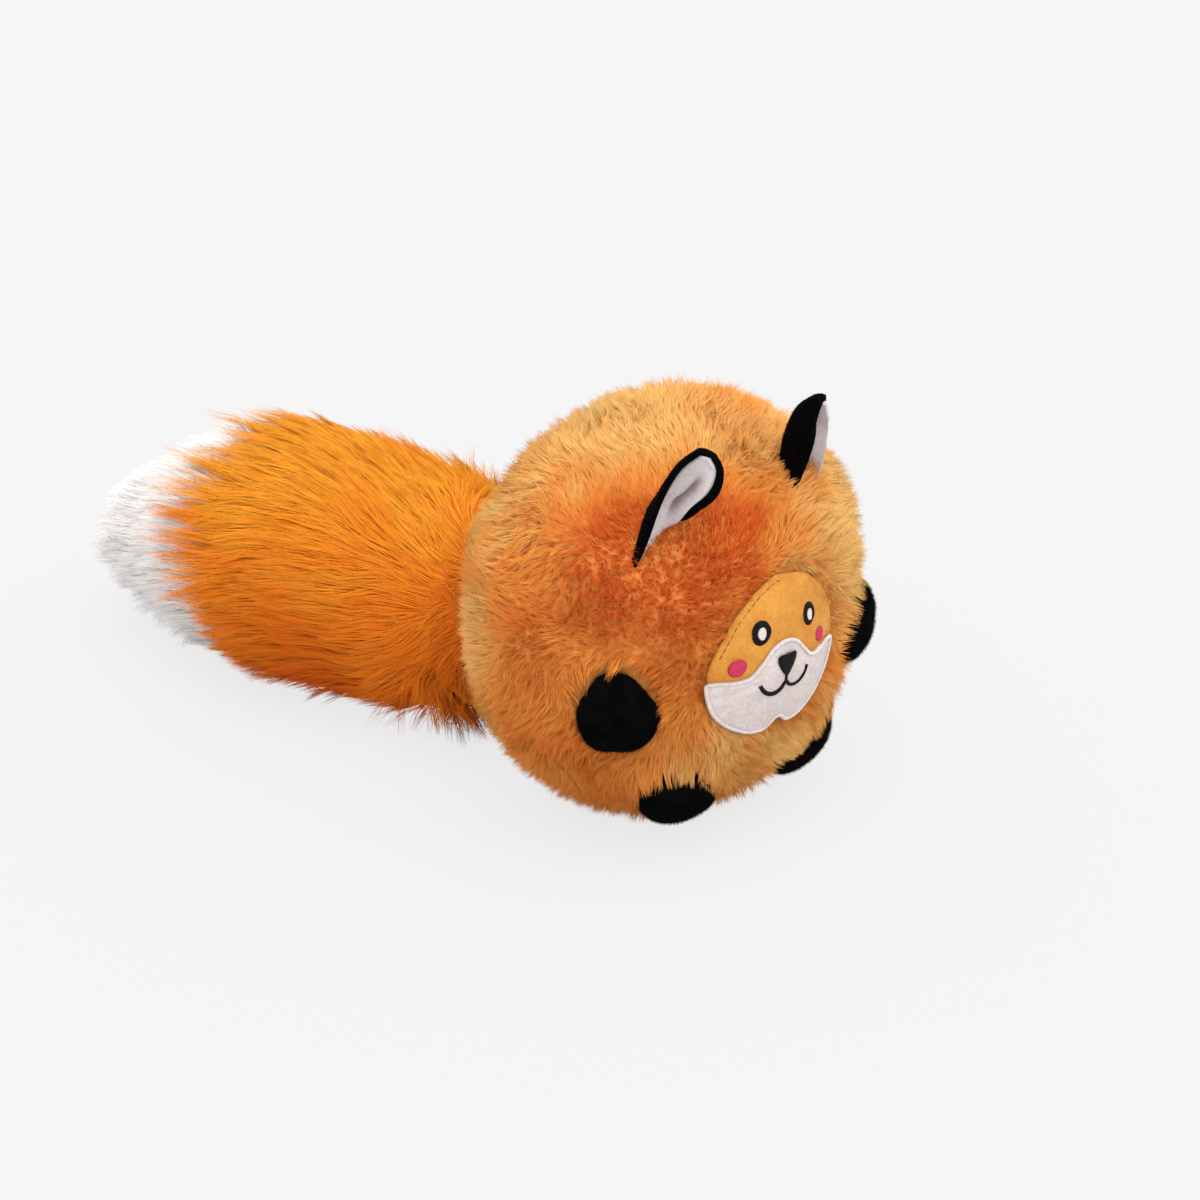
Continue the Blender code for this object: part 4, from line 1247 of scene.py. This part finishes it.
strands, root = body_strands(front_skin, BODY_DENSITY, 21)
dye = np.clip(body_dye_and_painted_light(root) + 0.35 * near_seam(root, 1.3 * MM), 0, 1)
strands, dye = trim_at_paws(strands, dye)
lay_over(strands, paws, PAW_CENTRES.values(), 20 * MM)
clear_of(strands, ears, EAR_CENTRES, 22 * MM)
grow_body("body_front_pile", FRONT_PARTS, strands, strands["root"], dye, BALL.z - 2 * MM)
strands, root = body_strands(rear_skin, REAR_DENSITY, 22)
# The rear panel's pile is paler: partly its own cloth, and partly painted light for the light that
# comes through the pile at its rim
dye = np.clip(body_dye_and_painted_light(root) - 0.2, 0, 1)
grow_body("body_rear_pile", REAR_PARTS, strands, root, dye, BALL.z)
for skin, node in ((front_skin, "front"), (rear_skin, "rear")):
    skin.data.materials.append(ORANGE_BACKING)
    attach(skin, "body", "orange_plush", f"body_cover_{node}", f"body_fill_{node}")

# %% [markdown]
# ## The tail
# The brush is stuffed like the ball, and swells and closes along a gently bent middle line.
# Its pile is twice as long and lies back towards the tip. The orange strands that grow last
# before the seam lie over the white, which is why the real seam shows as a ragged line.

# %% The tail's skin
# Share of the length; x, y and z of the middle line and its radius, millimetres
TAIL_LINE = (
    (0.000, -5.5, 50.9, 41.5, 22.0),
    (0.071, -11.5, 59.5, 37.2, 30.9),
    (0.143, -15.5, 68.3, 36.9, 34.1),
    (0.214, -19.3, 77.3, 36.1, 34.9),
    (0.286, -23.4, 86.6, 37.8, 35.5),
    (0.357, -27.1, 96.0, 37.3, 35.1),
    (0.429, -30.5, 105.7, 38.2, 36.2),
    (0.500, -33.5, 115.5, 37.0, 35.0),
    (0.571, -36.0, 125.6, 36.8, 34.4),
    (0.643, -38.2, 135.9, 36.2, 32.9),
    (0.714, -40.0, 146.4, 33.1, 28.5),
    (0.786, -41.3, 157.1, 31.2, 25.1),
    (0.857, -42.3, 168.0, 29.2, 21.7),
    (0.929, -42.9, 179.1, 25.1, 18.0),
    (1.000, -43.1, 190.4, 24.8, 0.0),
)
TAIL_SEAM = 0.54
TAIL_INSET = 3.2 * MM
LINE = smooth_loop(np.array(TAIL_LINE) * (1, MM, MM, MM, MM), 6, closed=False)


def tail_at(share):
    return np.stack([np.interp(share, LINE[:, 0], LINE[:, k]) for k in (1, 2, 3)], -1)


def tail_form(name, first, last, inset):
    """A closed length of the brush, between two shares of it."""
    bm = bmesh.new()
    bmesh.ops.create_uvsphere(bm, u_segments=40, v_segments=48, radius=1.0)
    for vert in bm.verts:
        own = (1 - vert.co.z) / 2
        share = min(max(first + (last - first) * own, 0.0), 1.0)
        centre = Vector(tail_at(share))
        ahead = Vector(tail_at(min(share + 0.02, 1.0)) - tail_at(max(share - 0.02, 0.0)))
        heading = Vector((ahead.x, ahead.y, 0)).normalized()
        radius = np.interp(share, LINE[:, 0], LINE[:, 4]) - inset
        radius = max(float(radius), 0.0) * min(1.0, math.sqrt(1 - vert.co.z**2) * 4)
        spin = math.atan2(vert.co.y, vert.co.x)
        side = Vector((heading.y, -heading.x, 0))
        vert.co = centre + side * radius * math.cos(spin)
        vert.co += Vector((0, 0, 1)) * radius * math.sin(spin)
    bmesh.ops.remove_doubles(bm, verts=bm.verts[:], dist=0.02 * MM)
    bmesh.ops.recalc_face_normals(bm, faces=bm.faces[:])
    bm.normal_update()
    lumps(bm, 22 * MM, 1.0 * MM, 8.0)
    return mesh_object(name, bm)


brush_skin = stuff(tail_form("tail_skin", 0.0, TAIL_SEAM, TAIL_INSET), 3.5 * MM, 1.2 * MM)
tip_skin = stuff(tail_form("tail_tip_skin", TAIL_SEAM, 0.97, TAIL_INSET), 3.5 * MM, 1.2 * MM)

# %% The tail's pile
TAIL_LENGTH_OF_PILE = 12.5 * MM
TAIL_DENSITY = 2.0
TIP_DENSITY = TAIL_DENSITY * 0.66
TAIL_STRAND = 0.12 * MM
TAIL_LOCK = 2.7 * MM
TAIL_END = 0.2015
ORANGE_OVERLAP = 1.35
TAIL_DYES = ((0.94, 0.37, 0.030), (0.95, 0.25, 0.017), (0.93, 0.155, 0.010))
WHITE_DYES = ((0.96, 0.92, 0.90), (0.86, 0.78, 0.74))
TAIL_PILE = pile_material("tail_pile", TAIL_DYES)
# The white pile has only a faint painted shade at its roots
WHITE_PILE = pile_material("white_pile", WHITE_DYES, (0.96, 0.93, 0.92), (0.97, 0.96, 0.95))
# The tail's backing is darker than its pile: painted shade, for the shade deep in the pile
SHADED_TAIL_BACKING = cloth_material(
    "tail_backing_painted_shade", (0.66, 0.16, 0.012), (0.58, 0.13, 0.01), 700, sheen=0.0
)
WHITE_BACKING = cloth_material("white_backing", (0.6, 0.57, 0.55), (0.5, 0.47, 0.45), 700)


def tail_share(places):
    distance = ((places[:, None] - LINE[None, ::3, 1:4]) ** 2).sum(2)
    return LINE[::3, 0][distance.argmin(1)]


def tail_strands(skin, density, seed, limit_y=1.0, long_on_top=0.0):
    """Pile that lies back along the tail and ends before limit_y, in metres."""
    root, out = scatter(skin, density, seed)
    share = tail_share(root)
    ahead = unit(tail_at(np.minimum(share + 0.04, 1.0)) - tail_at(np.maximum(share - 0.04, 0.0)))
    # Nothing grows on the closed ends at the seam, where the pile stands as if they weren't
    # there. The end at the body keeps a thin pile, which is seen when the tail swings
    thinned = np.random.default_rng(seed + 9).random(len(root)) < 0.6
    keep = (np.abs((out * ahead).sum(1)) < 0.8) | (share > 0.8) | ((share < 0.1) & thinned)
    root, out, share, ahead = root[keep], out[keep], share[keep], ahead[keep]
    around = unit(tangent(root - tail_at(share), ahead))
    closing = np.clip((share - 0.78) / 0.12, 0, 1)[:, None]
    closing = np.maximum(closing, np.clip((0.07 - share) / 0.05, 0, 1)[:, None])
    out = unit(around * (1 - closing) + out * closing)
    flat = np.interp(
        share, (0.0, 0.07, 0.15, 0.35, 0.6, 0.8, 1.0), (0.3, 0.9, 2.3, 2.4, 3.2, 2.9, 1.6)
    )
    lean = tangent(ahead, out) * flat[:, None]
    lean += tangent(slow_noise(root, 9 * MM, seed), out) * 0.5
    lean += tangent(slow_noise(root, 3.5 * MM, seed + 1), out) * 0.45
    # Near the body the pile on the underside splays down to the floor
    splay = np.clip((0.18 - share) / 0.10, 0, 1) * np.clip((34 * MM - root[:, 2]) / (16 * MM), 0, 1)
    lean = lean * (1 - splay)[:, None]
    lean = lean + tangent(np.array([[0.1, -2.6, -0.2]]), out) * splay[:, None]
    length = TAIL_LENGTH_OF_PILE * (1 + 0.8 * splay)
    reach = length * np.interp(
        share, (0.0, 0.1, 0.2, 0.4, 0.54, 0.7), (0.5, 0.88, 1.05, 1.1, 1.08, 0.95)
    )
    # On top the orange pile reaches further over the white
    on_top = np.clip((root[:, 2] - 28 * MM) / (24 * MM), 0, 1) * np.clip((share - 0.4) / 0.12, 0, 1)
    reach *= 1 + long_on_top * on_top
    reach *= np.clip((limit_y - root[:, 1]) / length, 0.25, 1)
    start = root - out * ROOT_DEPTH
    strands = comb(start, out, lean, reach, TAIL_LOCK, 0.5, 0.2, seed, drop=0.04, arch=0.4)
    strands["tip"] -= out * (long_on_top * on_top * 3.5 * MM)[:, None]
    return strands, root, share


strands, root, share = tail_strands(brush_skin, TAIL_DENSITY, 31, long_on_top=ORANGE_OVERLAP)
# Deeper dye towards the underside: painted shade on the tail's lower side
under = np.clip((66 * MM - root[:, 2]) / (64 * MM), 0, 1)
patches = 0.15 * slow_noise(root, 8 * MM, 9)[:, 1] + 0.12 * slow_noise(root, 3 * MM, 10)[:, 1]
dye = np.clip(under + patches, 0, 1)
look = (TAIL_STRAND, LONG, dye, "tail", "tail_plush", TAIL_PILE)
region = np.digitize(share, (0.12, 0.27, 0.40))
grow_parts("tail_pile", ("root", "near", "middle", "end"), region, strands, *look)

strands, root, share = tail_strands(tip_skin, TIP_DENSITY, 32, limit_y=TAIL_END)
# The white is painted greyer towards the bottom: painted shade on its underside
dye = np.clip((24 * MM - root[:, 2]) / (24 * MM), 0, 1) * 0.8
look = (TAIL_STRAND, LONG, dye, "tail", "white_plush", WHITE_PILE)
grow_parts("tail_tip_pile", ("near", "end"), (share > 0.72).astype(int), strands, *look)

for skin, backing, slot, nodes in (
    (brush_skin, SHADED_TAIL_BACKING, "tail_plush", ("tail_cover", "tail_fill")),
    (tip_skin, WHITE_BACKING, "white_plush", ("tail_tip_cover",)),
):
    skin.data.materials.append(backing)
    attach(skin, "tail", slot, *nodes)

# %% [markdown]
# ## The tail's root
# The cloth is gathered to a stub where the tail is sewn on, and the pile there stands out all
# round and hides the join.

# %% The tail's root
ROOT_SPOT = Vector(JOINTS["tail_swing"]["pos_m"])
ROOT_RADIUS = 9.6 * MM


def root_form():
    bm = bmesh.new()
    bmesh.ops.create_icosphere(bm, subdivisions=4, radius=ROOT_RADIUS)
    for vert in bm.verts:
        spin = math.atan2(vert.co.z, vert.co.x)
        vert.co *= 1 - 0.04 * (0.5 + 0.5 * math.cos(14 * spin))
    bmesh.ops.translate(bm, vec=ROOT_SPOT, verts=bm.verts[:])
    return mesh_object("tail_root_gather", bm)


root_skin = root_form()
# The gather takes the tail's darker backing, with its painted shade
root_skin.data.materials.append(SHADED_TAIL_BACKING)
attach(root_skin, "tail_root", "tail_plush", "tail_root")
root, out = scatter(root_skin, 5.0, 41)
keep = (root[:, 1] < ROOT_SPOT.y + 7 * MM) & (root[:, 1] > ROOT_SPOT.y - 7.5 * MM)
root, out = root[keep], out[keep]
lean = np.array([[-0.15, 0.45, -0.05]]) + slow_noise(root, 6 * MM, 3) * 0.2
lengths = np.full(len(root), 13 * MM)
strands = comb(root, out, lean, lengths, 1.8 * MM, 0.5, 0.25, 41, drop=0.1)
clear_of(strands, surface_of("body_skin_rear"), [ROOT_SPOT], 40 * MM)
grow("tail_root_pile", strands, 0.13 * MM, BENT, 0.6, "tail_root", "tail_plush", TAIL_PILE)

# %% [markdown]
# ## Cloth of the face
# The panel and the muzzle are single pieces of cloth, laid on the ball and sewn down round
# their edges. Each starts as a disc of rings, made by extruding a circle inwards. The disc is
# stretched to the outline, and its height drops towards the edge, where the stitches pull it.

# %% Face cloth
DISC_RINGS = 14
OUTLINE_POINTS = 120


def disc(segments, rings):
    """A flat unit disc of rings, closed by a small cap."""
    bm = bmesh.new()
    bmesh.ops.create_circle(bm, cap_ends=False, segments=segments, radius=1.0)
    edges = bm.edges[:]
    for ring in range(1, rings):
        made = bmesh.ops.extrude_edge_only(bm, edges=edges)["geom"]
        verts = [item for item in made if isinstance(item, bmesh.types.BMVert)]
        edges = [item for item in made if isinstance(item, bmesh.types.BMEdge)]
        edges = [edge for edge in edges if all(vert in verts for vert in edge.verts)]
        shrink = (rings - ring) / (rings - ring + 1)
        bmesh.ops.scale(bm, vec=(shrink, shrink, 1), verts=verts)
    bmesh.ops.edgeloop_fill(bm, edges=edges)
    return bm


def outline_from(loop, centre):
    """The outline as seen from a centre, at even angles, so that a disc can be stretched to it."""
    middle = np.array(centre)
    offset = loop - middle
    angle = np.unwrap(np.arctan2(offset[:, 1], offset[:, 0]))
    order = np.argsort(np.mod(angle, 2 * math.pi))
    angle = np.mod(angle, 2 * math.pi)[order]
    reach = np.linalg.norm(offset, axis=1)[order]
    even = np.arange(OUTLINE_POINTS) / OUTLINE_POINTS * 2 * math.pi
    reach = np.interp(even, angle, reach, period=2 * math.pi)
    return middle + np.stack([np.cos(even), np.sin(even)], 1) * reach[:, None]


def laid_cloth(name, outline, centre, height_at, thickness, material, slot, node):
    """Cloth of that outline on the ball. height_at gives its face's height at (x, z, share)."""
    loop = outline_from(outline, centre)
    bm = disc(OUTLINE_POINTS, DISC_RINGS)
    middle = np.array(centre)
    for vert in bm.verts:
        share = math.hypot(vert.co.x, vert.co.y)
        turn = math.atan2(vert.co.y, vert.co.x) / (2 * math.pi) * OUTLINE_POINTS
        near_edge = loop[int(round(turn)) % OUTLINE_POINTS]
        x, z = middle + (near_edge - middle) * share
        vert.co = Vector(on_ball(x, z, height_at(x, z, share)))
    bmesh.ops.recalc_face_normals(bm, faces=bm.faces[:])
    bm.normal_update()
    if sum(face.normal.y for face in bm.faces) > 0:
        bmesh.ops.reverse_faces(bm, faces=bm.faces[:])
    bmesh.ops.solidify(bm, geom=bm.faces[:], thickness=thickness)
    bmesh.ops.recalc_face_normals(bm, faces=bm.faces[:])
    cloth = subdivide(mesh_object(name, bm))
    cloth.data.materials.append(material)
    attach(cloth, "body", slot, node)
    return cloth


PANEL_TOP = -1.3 * MM
MUZZLE_TOP = -0.1 * MM
FACE_NAP = {"grain": 1000, "bump": 0.00018, "sheen": 0.05}
MUSTARD = cloth_material("face_mustard", (0.70, 0.315, 0.05), (0.60, 0.24, 0.036), **FACE_NAP)
MUZZLE_WHITE = cloth_material("muzzle_white", (0.70, 0.61, 0.59), (0.62, 0.54, 0.52), **FACE_NAP)


def panel_height(x, z, share):
    """Puffed over the fill, with a sewn groove just inside the turned upper edge."""
    puff = 0.9 * MM * (1 - share**4)
    upper = smoothstep((z + 4 * MM) / (6 * MM))
    ending = smoothstep((5 * MM - x) / (4 * MM))
    groove = 0.6 * MM * math.exp(-(((share - 0.92) / 0.02) ** 2)) * upper * ending
    rim = 0.3 * MM * math.exp(-(((share - 0.99) / 0.02) ** 2)) * upper
    wrinkle = 0.10 * MM * noise.noise(Vector((x, z, 0)) / (3 * MM))
    return PANEL_TOP + puff - groove + rim + wrinkle


def muzzle_height(x, z, share):
    """Puffed, with a soft crease that runs below the upper edge on the right side."""
    puff = 0.75 * MM * (1 - share**4)
    crease_z = -4.6 * MM + (x + 8 * MM) * 0.12
    ending = smoothstep((-6 * MM - x) / (3 * MM))
    crease = 0.5 * MM * math.exp(-(((z - crease_z) / (0.5 * MM)) ** 2)) * ending
    wrinkle = 0.16 * MM * noise.noise(Vector((x, z, 7 * MM)) / (3.5 * MM))
    return MUZZLE_TOP + puff - crease + wrinkle


PANEL_MIDDLE = (0, -1 * MM)
MUZZLE_MIDDLE = (0.0, -9.0 * MM)
panel_cloth = laid_cloth(
    "face_panel_cloth", PANEL, PANEL_MIDDLE, panel_height, 1.2 * MM, MUSTARD,
    "face_felt", "face_panel",
)
muzzle_cloth = laid_cloth(
    "muzzle_cloth", MUZZLE, MUZZLE_MIDDLE, muzzle_height, 0.9 * MM, MUZZLE_WHITE,
    "muzzle_felt", "muzzle_patch",
)

# %% [markdown]
# ## Embroidery
# Satin stitch is a row of threads laid side by side, each going down at both ends. One thread
# is a short round rod, made once. It is copied along each chord of the shape and arched over
# the cloth. Eyes, cheeks, nose, mouth and the muzzle's border are all made this way.

# %% Threads
THREAD_SIDES = 6
THREAD_STEPS = 8
THREAD = rod_form(THREAD_SIDES, 1.0, THREAD_STEPS - 1)


def threads(name, starts, ends, radius, base, arch, node, slot, material, seed=1):
    """Threads from each start to each end, in (x, z) of the face, arched over the cloth."""
    points, faces = THREAD
    count = len(starts)
    rng = np.random.default_rng(seed)
    t = points[:, 2][None, :]
    line = starts[:, None] * (1 - t[..., None]) + ends[:, None] * t[..., None]
    rise = base + arch * (1 - (2 * t - 1) ** 4) + rng.normal(size=(count, 1)) * radius * 0.12
    middle = on_ball(line[..., 0], line[..., 1], rise)
    across = unit(ends - starts)
    side = np.stack([-across[:, 1], np.zeros(count), across[:, 0]], -1)
    out = unit(middle - np.array(BALL))
    round_it = side[:, None] * points[:, 0][None, :, None] + out * points[:, 1][None, :, None]
    mesh = copied_mesh(name, middle + round_it * radius, faces, {
        "along": np.tile(1 - np.abs(2 * points[:, 2] - 1), count),
        "tint": np.repeat(rng.uniform(0.3, 1, count), len(points)),
    })
    bm = bmesh.new()
    bm.from_mesh(mesh)
    bmesh.ops.recalc_face_normals(bm, faces=bm.faces[:])
    bm.to_mesh(mesh)
    bm.free()
    mesh.materials.append(material)
    attach(new_object(name, mesh), "body", slot, *([node] if node else []))
    print(name, count, "threads")


def chords(loop, pitch, along=(0.0, 1.0)):
    """Both ends of each thread that fills an outline, laid along one direction."""
    way = np.array(along)
    across = np.array([way[1], -way[0]])
    level = loop @ across
    height = loop @ way
    starts, ends = [], []
    for value in np.arange(level.min() + pitch / 2, level.max(), pitch):
        hits = []
        for i in range(len(loop)):
            a, b = level[i - 1], level[i]
            if (a > value) != (b > value):
                share = (value - a) / (b - a)
                hits.append(height[i - 1] + (height[i] - height[i - 1]) * share)
        hits.sort()
        for low, high in zip(hits[::2], hits[1::2]):
            starts.append(across * value + way * low)
            ends.append(across * value + way * high)
    return np.array(starts), np.array(ends)


def oval(x, z, width, height, count=40):
    turn = np.arange(count) / count * 2 * math.pi
    return np.stack([x + np.cos(turn) * width / 2, z + np.sin(turn) * height / 2], 1)


BLACK_THREAD = thread_material("black_thread", (0.010, 0.008, 0.008), (0.003, 0.003, 0.003))
WHITE_THREAD = thread_material("white_thread", (0.74, 0.67, 0.65), (0.58, 0.51, 0.49))
PINK_THREAD = thread_material("pink_thread", (0.62, 0.045, 0.12), (0.42, 0.03, 0.07))
MUSTARD_THREAD = thread_material("mustard_thread", (0.20, 0.08, 0.014), (0.08, 0.03, 0.006))
PITCH = 0.24 * MM
RADIUS = 0.15 * MM
ON_PANEL = PANEL_TOP + 0.75 * MM
ON_MUZZLE = MUZZLE_TOP + 0.75 * MM

# %% Eyes, cheeks and nose
# Side, x, z, width and height, millimetres; sewn by hand, so the two sides differ a little
EYES = (("right", -7.2, 8.3, 5.8, 6.3), ("left", 9.2, 8.3, 4.2, 6.0))
CHEEKS = (("right", -14.3, 0.9, 5.3, 4.5), ("left", 13.5, 1.4, 3.1, 3.9))
NOSE_HALF = ((0.0, -4.5), (1.5, -3.2), (2.8, -0.9), (3.0, 0.8), (1.8, 1.5), (0.0, 1.4))


def satin(name, loop, way, base, node, slot, material, seed):
    rows = chords(loop, PITCH, unit(np.array(way)))
    threads(name, *rows, RADIUS, base, 0.3 * MM, node, slot, material, seed)


for side_name, *shape in EYES:
    x, z, width, height = (value * MM for value in shape)
    satin(
        f"eye_{side_name}_stitches", oval(x, z, width, height), (0.0, 1.0), ON_PANEL,
        f"eye_{side_name}", "black_thread", BLACK_THREAD, 3,
    )
    satin(
        f"eye_highlight_{side_name}_stitches", oval(x, z, width * 0.45, height * 0.5), (1.0, 0.0),
        ON_PANEL + 0.28 * MM, f"eye_highlight_{side_name}", "white_thread", WHITE_THREAD, 4,
    )
for side_name, *shape in CHEEKS:
    x, z, width, height = (value * MM for value in shape)
    satin(
        f"cheek_{side_name}_stitches", oval(x, z, width, height), (1.0, 0.25), ON_PANEL,
        f"cheek_{side_name}", "pink_thread", PINK_THREAD, 5,
    )

rows = chords(smooth_loop(mirrored(NOSE_HALF), 5), PITCH, (1.0, 0.0))
threads(
    "nose_stitches", *rows, RADIUS, ON_MUZZLE + 0.15 * MM, 0.4 * MM,
    "nose", "black_thread", BLACK_THREAD,
)

# %% Mouth, nose stem and borders
MOUTH = ((-8.3, -5.2), (-7.2, -6.9), (-5.4, -8.3), (-3.4, -8.7), (-1.4, -8.0), (0.0, -6.4),
         (1.3, -7.7), (3.2, -8.3), (5.2, -7.8), (6.8, -6.2), (7.4, -4.4))


def run_of(points):
    """How far along a line each of its points lies."""
    return np.concatenate([[0], np.cumsum(np.linalg.norm(np.diff(points, axis=0), axis=1))])


def points_at(distance, run, points):
    return np.stack([np.interp(distance, run, points[:, k]) for k in (0, 1)], 1)


def band(line, half_width, pitch, slant=0.3, closed=False):
    """Thread ends on both sides of a line, for a narrow satin band."""
    points = np.array(line)
    if closed:
        points = np.vstack([points, points[:1]])
    run = run_of(points)
    stitches = np.arange(0, run[-1], pitch)
    at = points_at(stitches, run, points)
    along = unit(points_at(stitches + pitch, run, points) - points_at(stitches - pitch, run, points))
    side = np.stack([along[:, 1], -along[:, 0]], 1)
    half_width = np.interp(stitches, run, np.broadcast_to(half_width, len(run)))[:, None]
    return at + (side - along * slant) * half_width, at - (side - along * slant) * half_width


mouth_line = smooth_loop(np.array(MOUTH) * MM, 6, closed=False)
# Thicker on the right, where the threads crowd
width = np.interp(np.linspace(0, 1, len(mouth_line)), (0, 0.35, 0.5, 1), (0.5, 0.6, 0.45, 0.32)) * MM
stem = np.array([(0.0, -3.8), (0.0, -6.7)]) * MM
for name, line, half_width, node in (
    ("mouth_stitches", mouth_line, width, "mouth"),
    ("nose_stem_stitches", stem, 0.38 * MM, None),
):
    rows = band(line, half_width, 0.2 * MM)
    threads(name, *rows, RADIUS, ON_MUZZLE, 0.3 * MM, node, "black_thread", BLACK_THREAD)
rows = band(widened(MUZZLE, -0.45 * MM), 0.5 * MM, 0.26 * MM, closed=True)
threads(
    "muzzle_border_stitches", *rows, RADIUS, MUZZLE_TOP + 0.05 * MM, 0.45 * MM,
    "muzzle_stitching", "white_thread", WHITE_THREAD,
)
upper = widened(PANEL, -1.5 * MM)
upper = upper[(upper[:, 1] > 3 * MM) & (upper[:, 0] < 4 * MM)]
seam_line = upper[np.argsort(-np.arctan2(upper[:, 1] + 1 * MM, upper[:, 0]))]
run = run_of(seam_line)
dashes = np.arange(0.3 * MM, run[-1] - 1.8 * MM, 1.9 * MM)
rows = [points_at(dashes + reach, run, seam_line) for reach in (0, 1.75 * MM)]
threads(
    "face_seam_stitches", *rows, 0.14 * MM, PANEL_TOP - 0.3 * MM, 0.2 * MM,
    "face_stitching", "mustard_thread", MUSTARD_THREAD,
)

# %% [markdown]
# ## The squeaker
# It sits in the middle of the stuffing and is never seen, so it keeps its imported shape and
# gets a cloudy soft plastic.

# %% Squeaker plastic
squeaker_plastic, tree, shader = new_material("squeaker_plastic", roughness=0.4, specular=0.5)
milky = mix_colour(tree, object_noise(tree, 120), (0.72, 0.75, 0.78), (0.82, 0.84, 0.86))
tree.links.new(milky, shader.inputs["Base Color"])
for name in ("squeaker_bulb", "squeaker_reed"):
    node = frame["nodes"][name]
    node.data.materials.clear()
    node.data.materials.append(squeaker_plastic)

# %% Measure and finish
TRIANGLES = [len(obj.data.loop_triangles) for obj in SCENE.objects if obj.type == "MESH"]
print("triangles, packed nodes too:", sum(TRIANGLES), "most in one piece:", max(TRIANGLES))
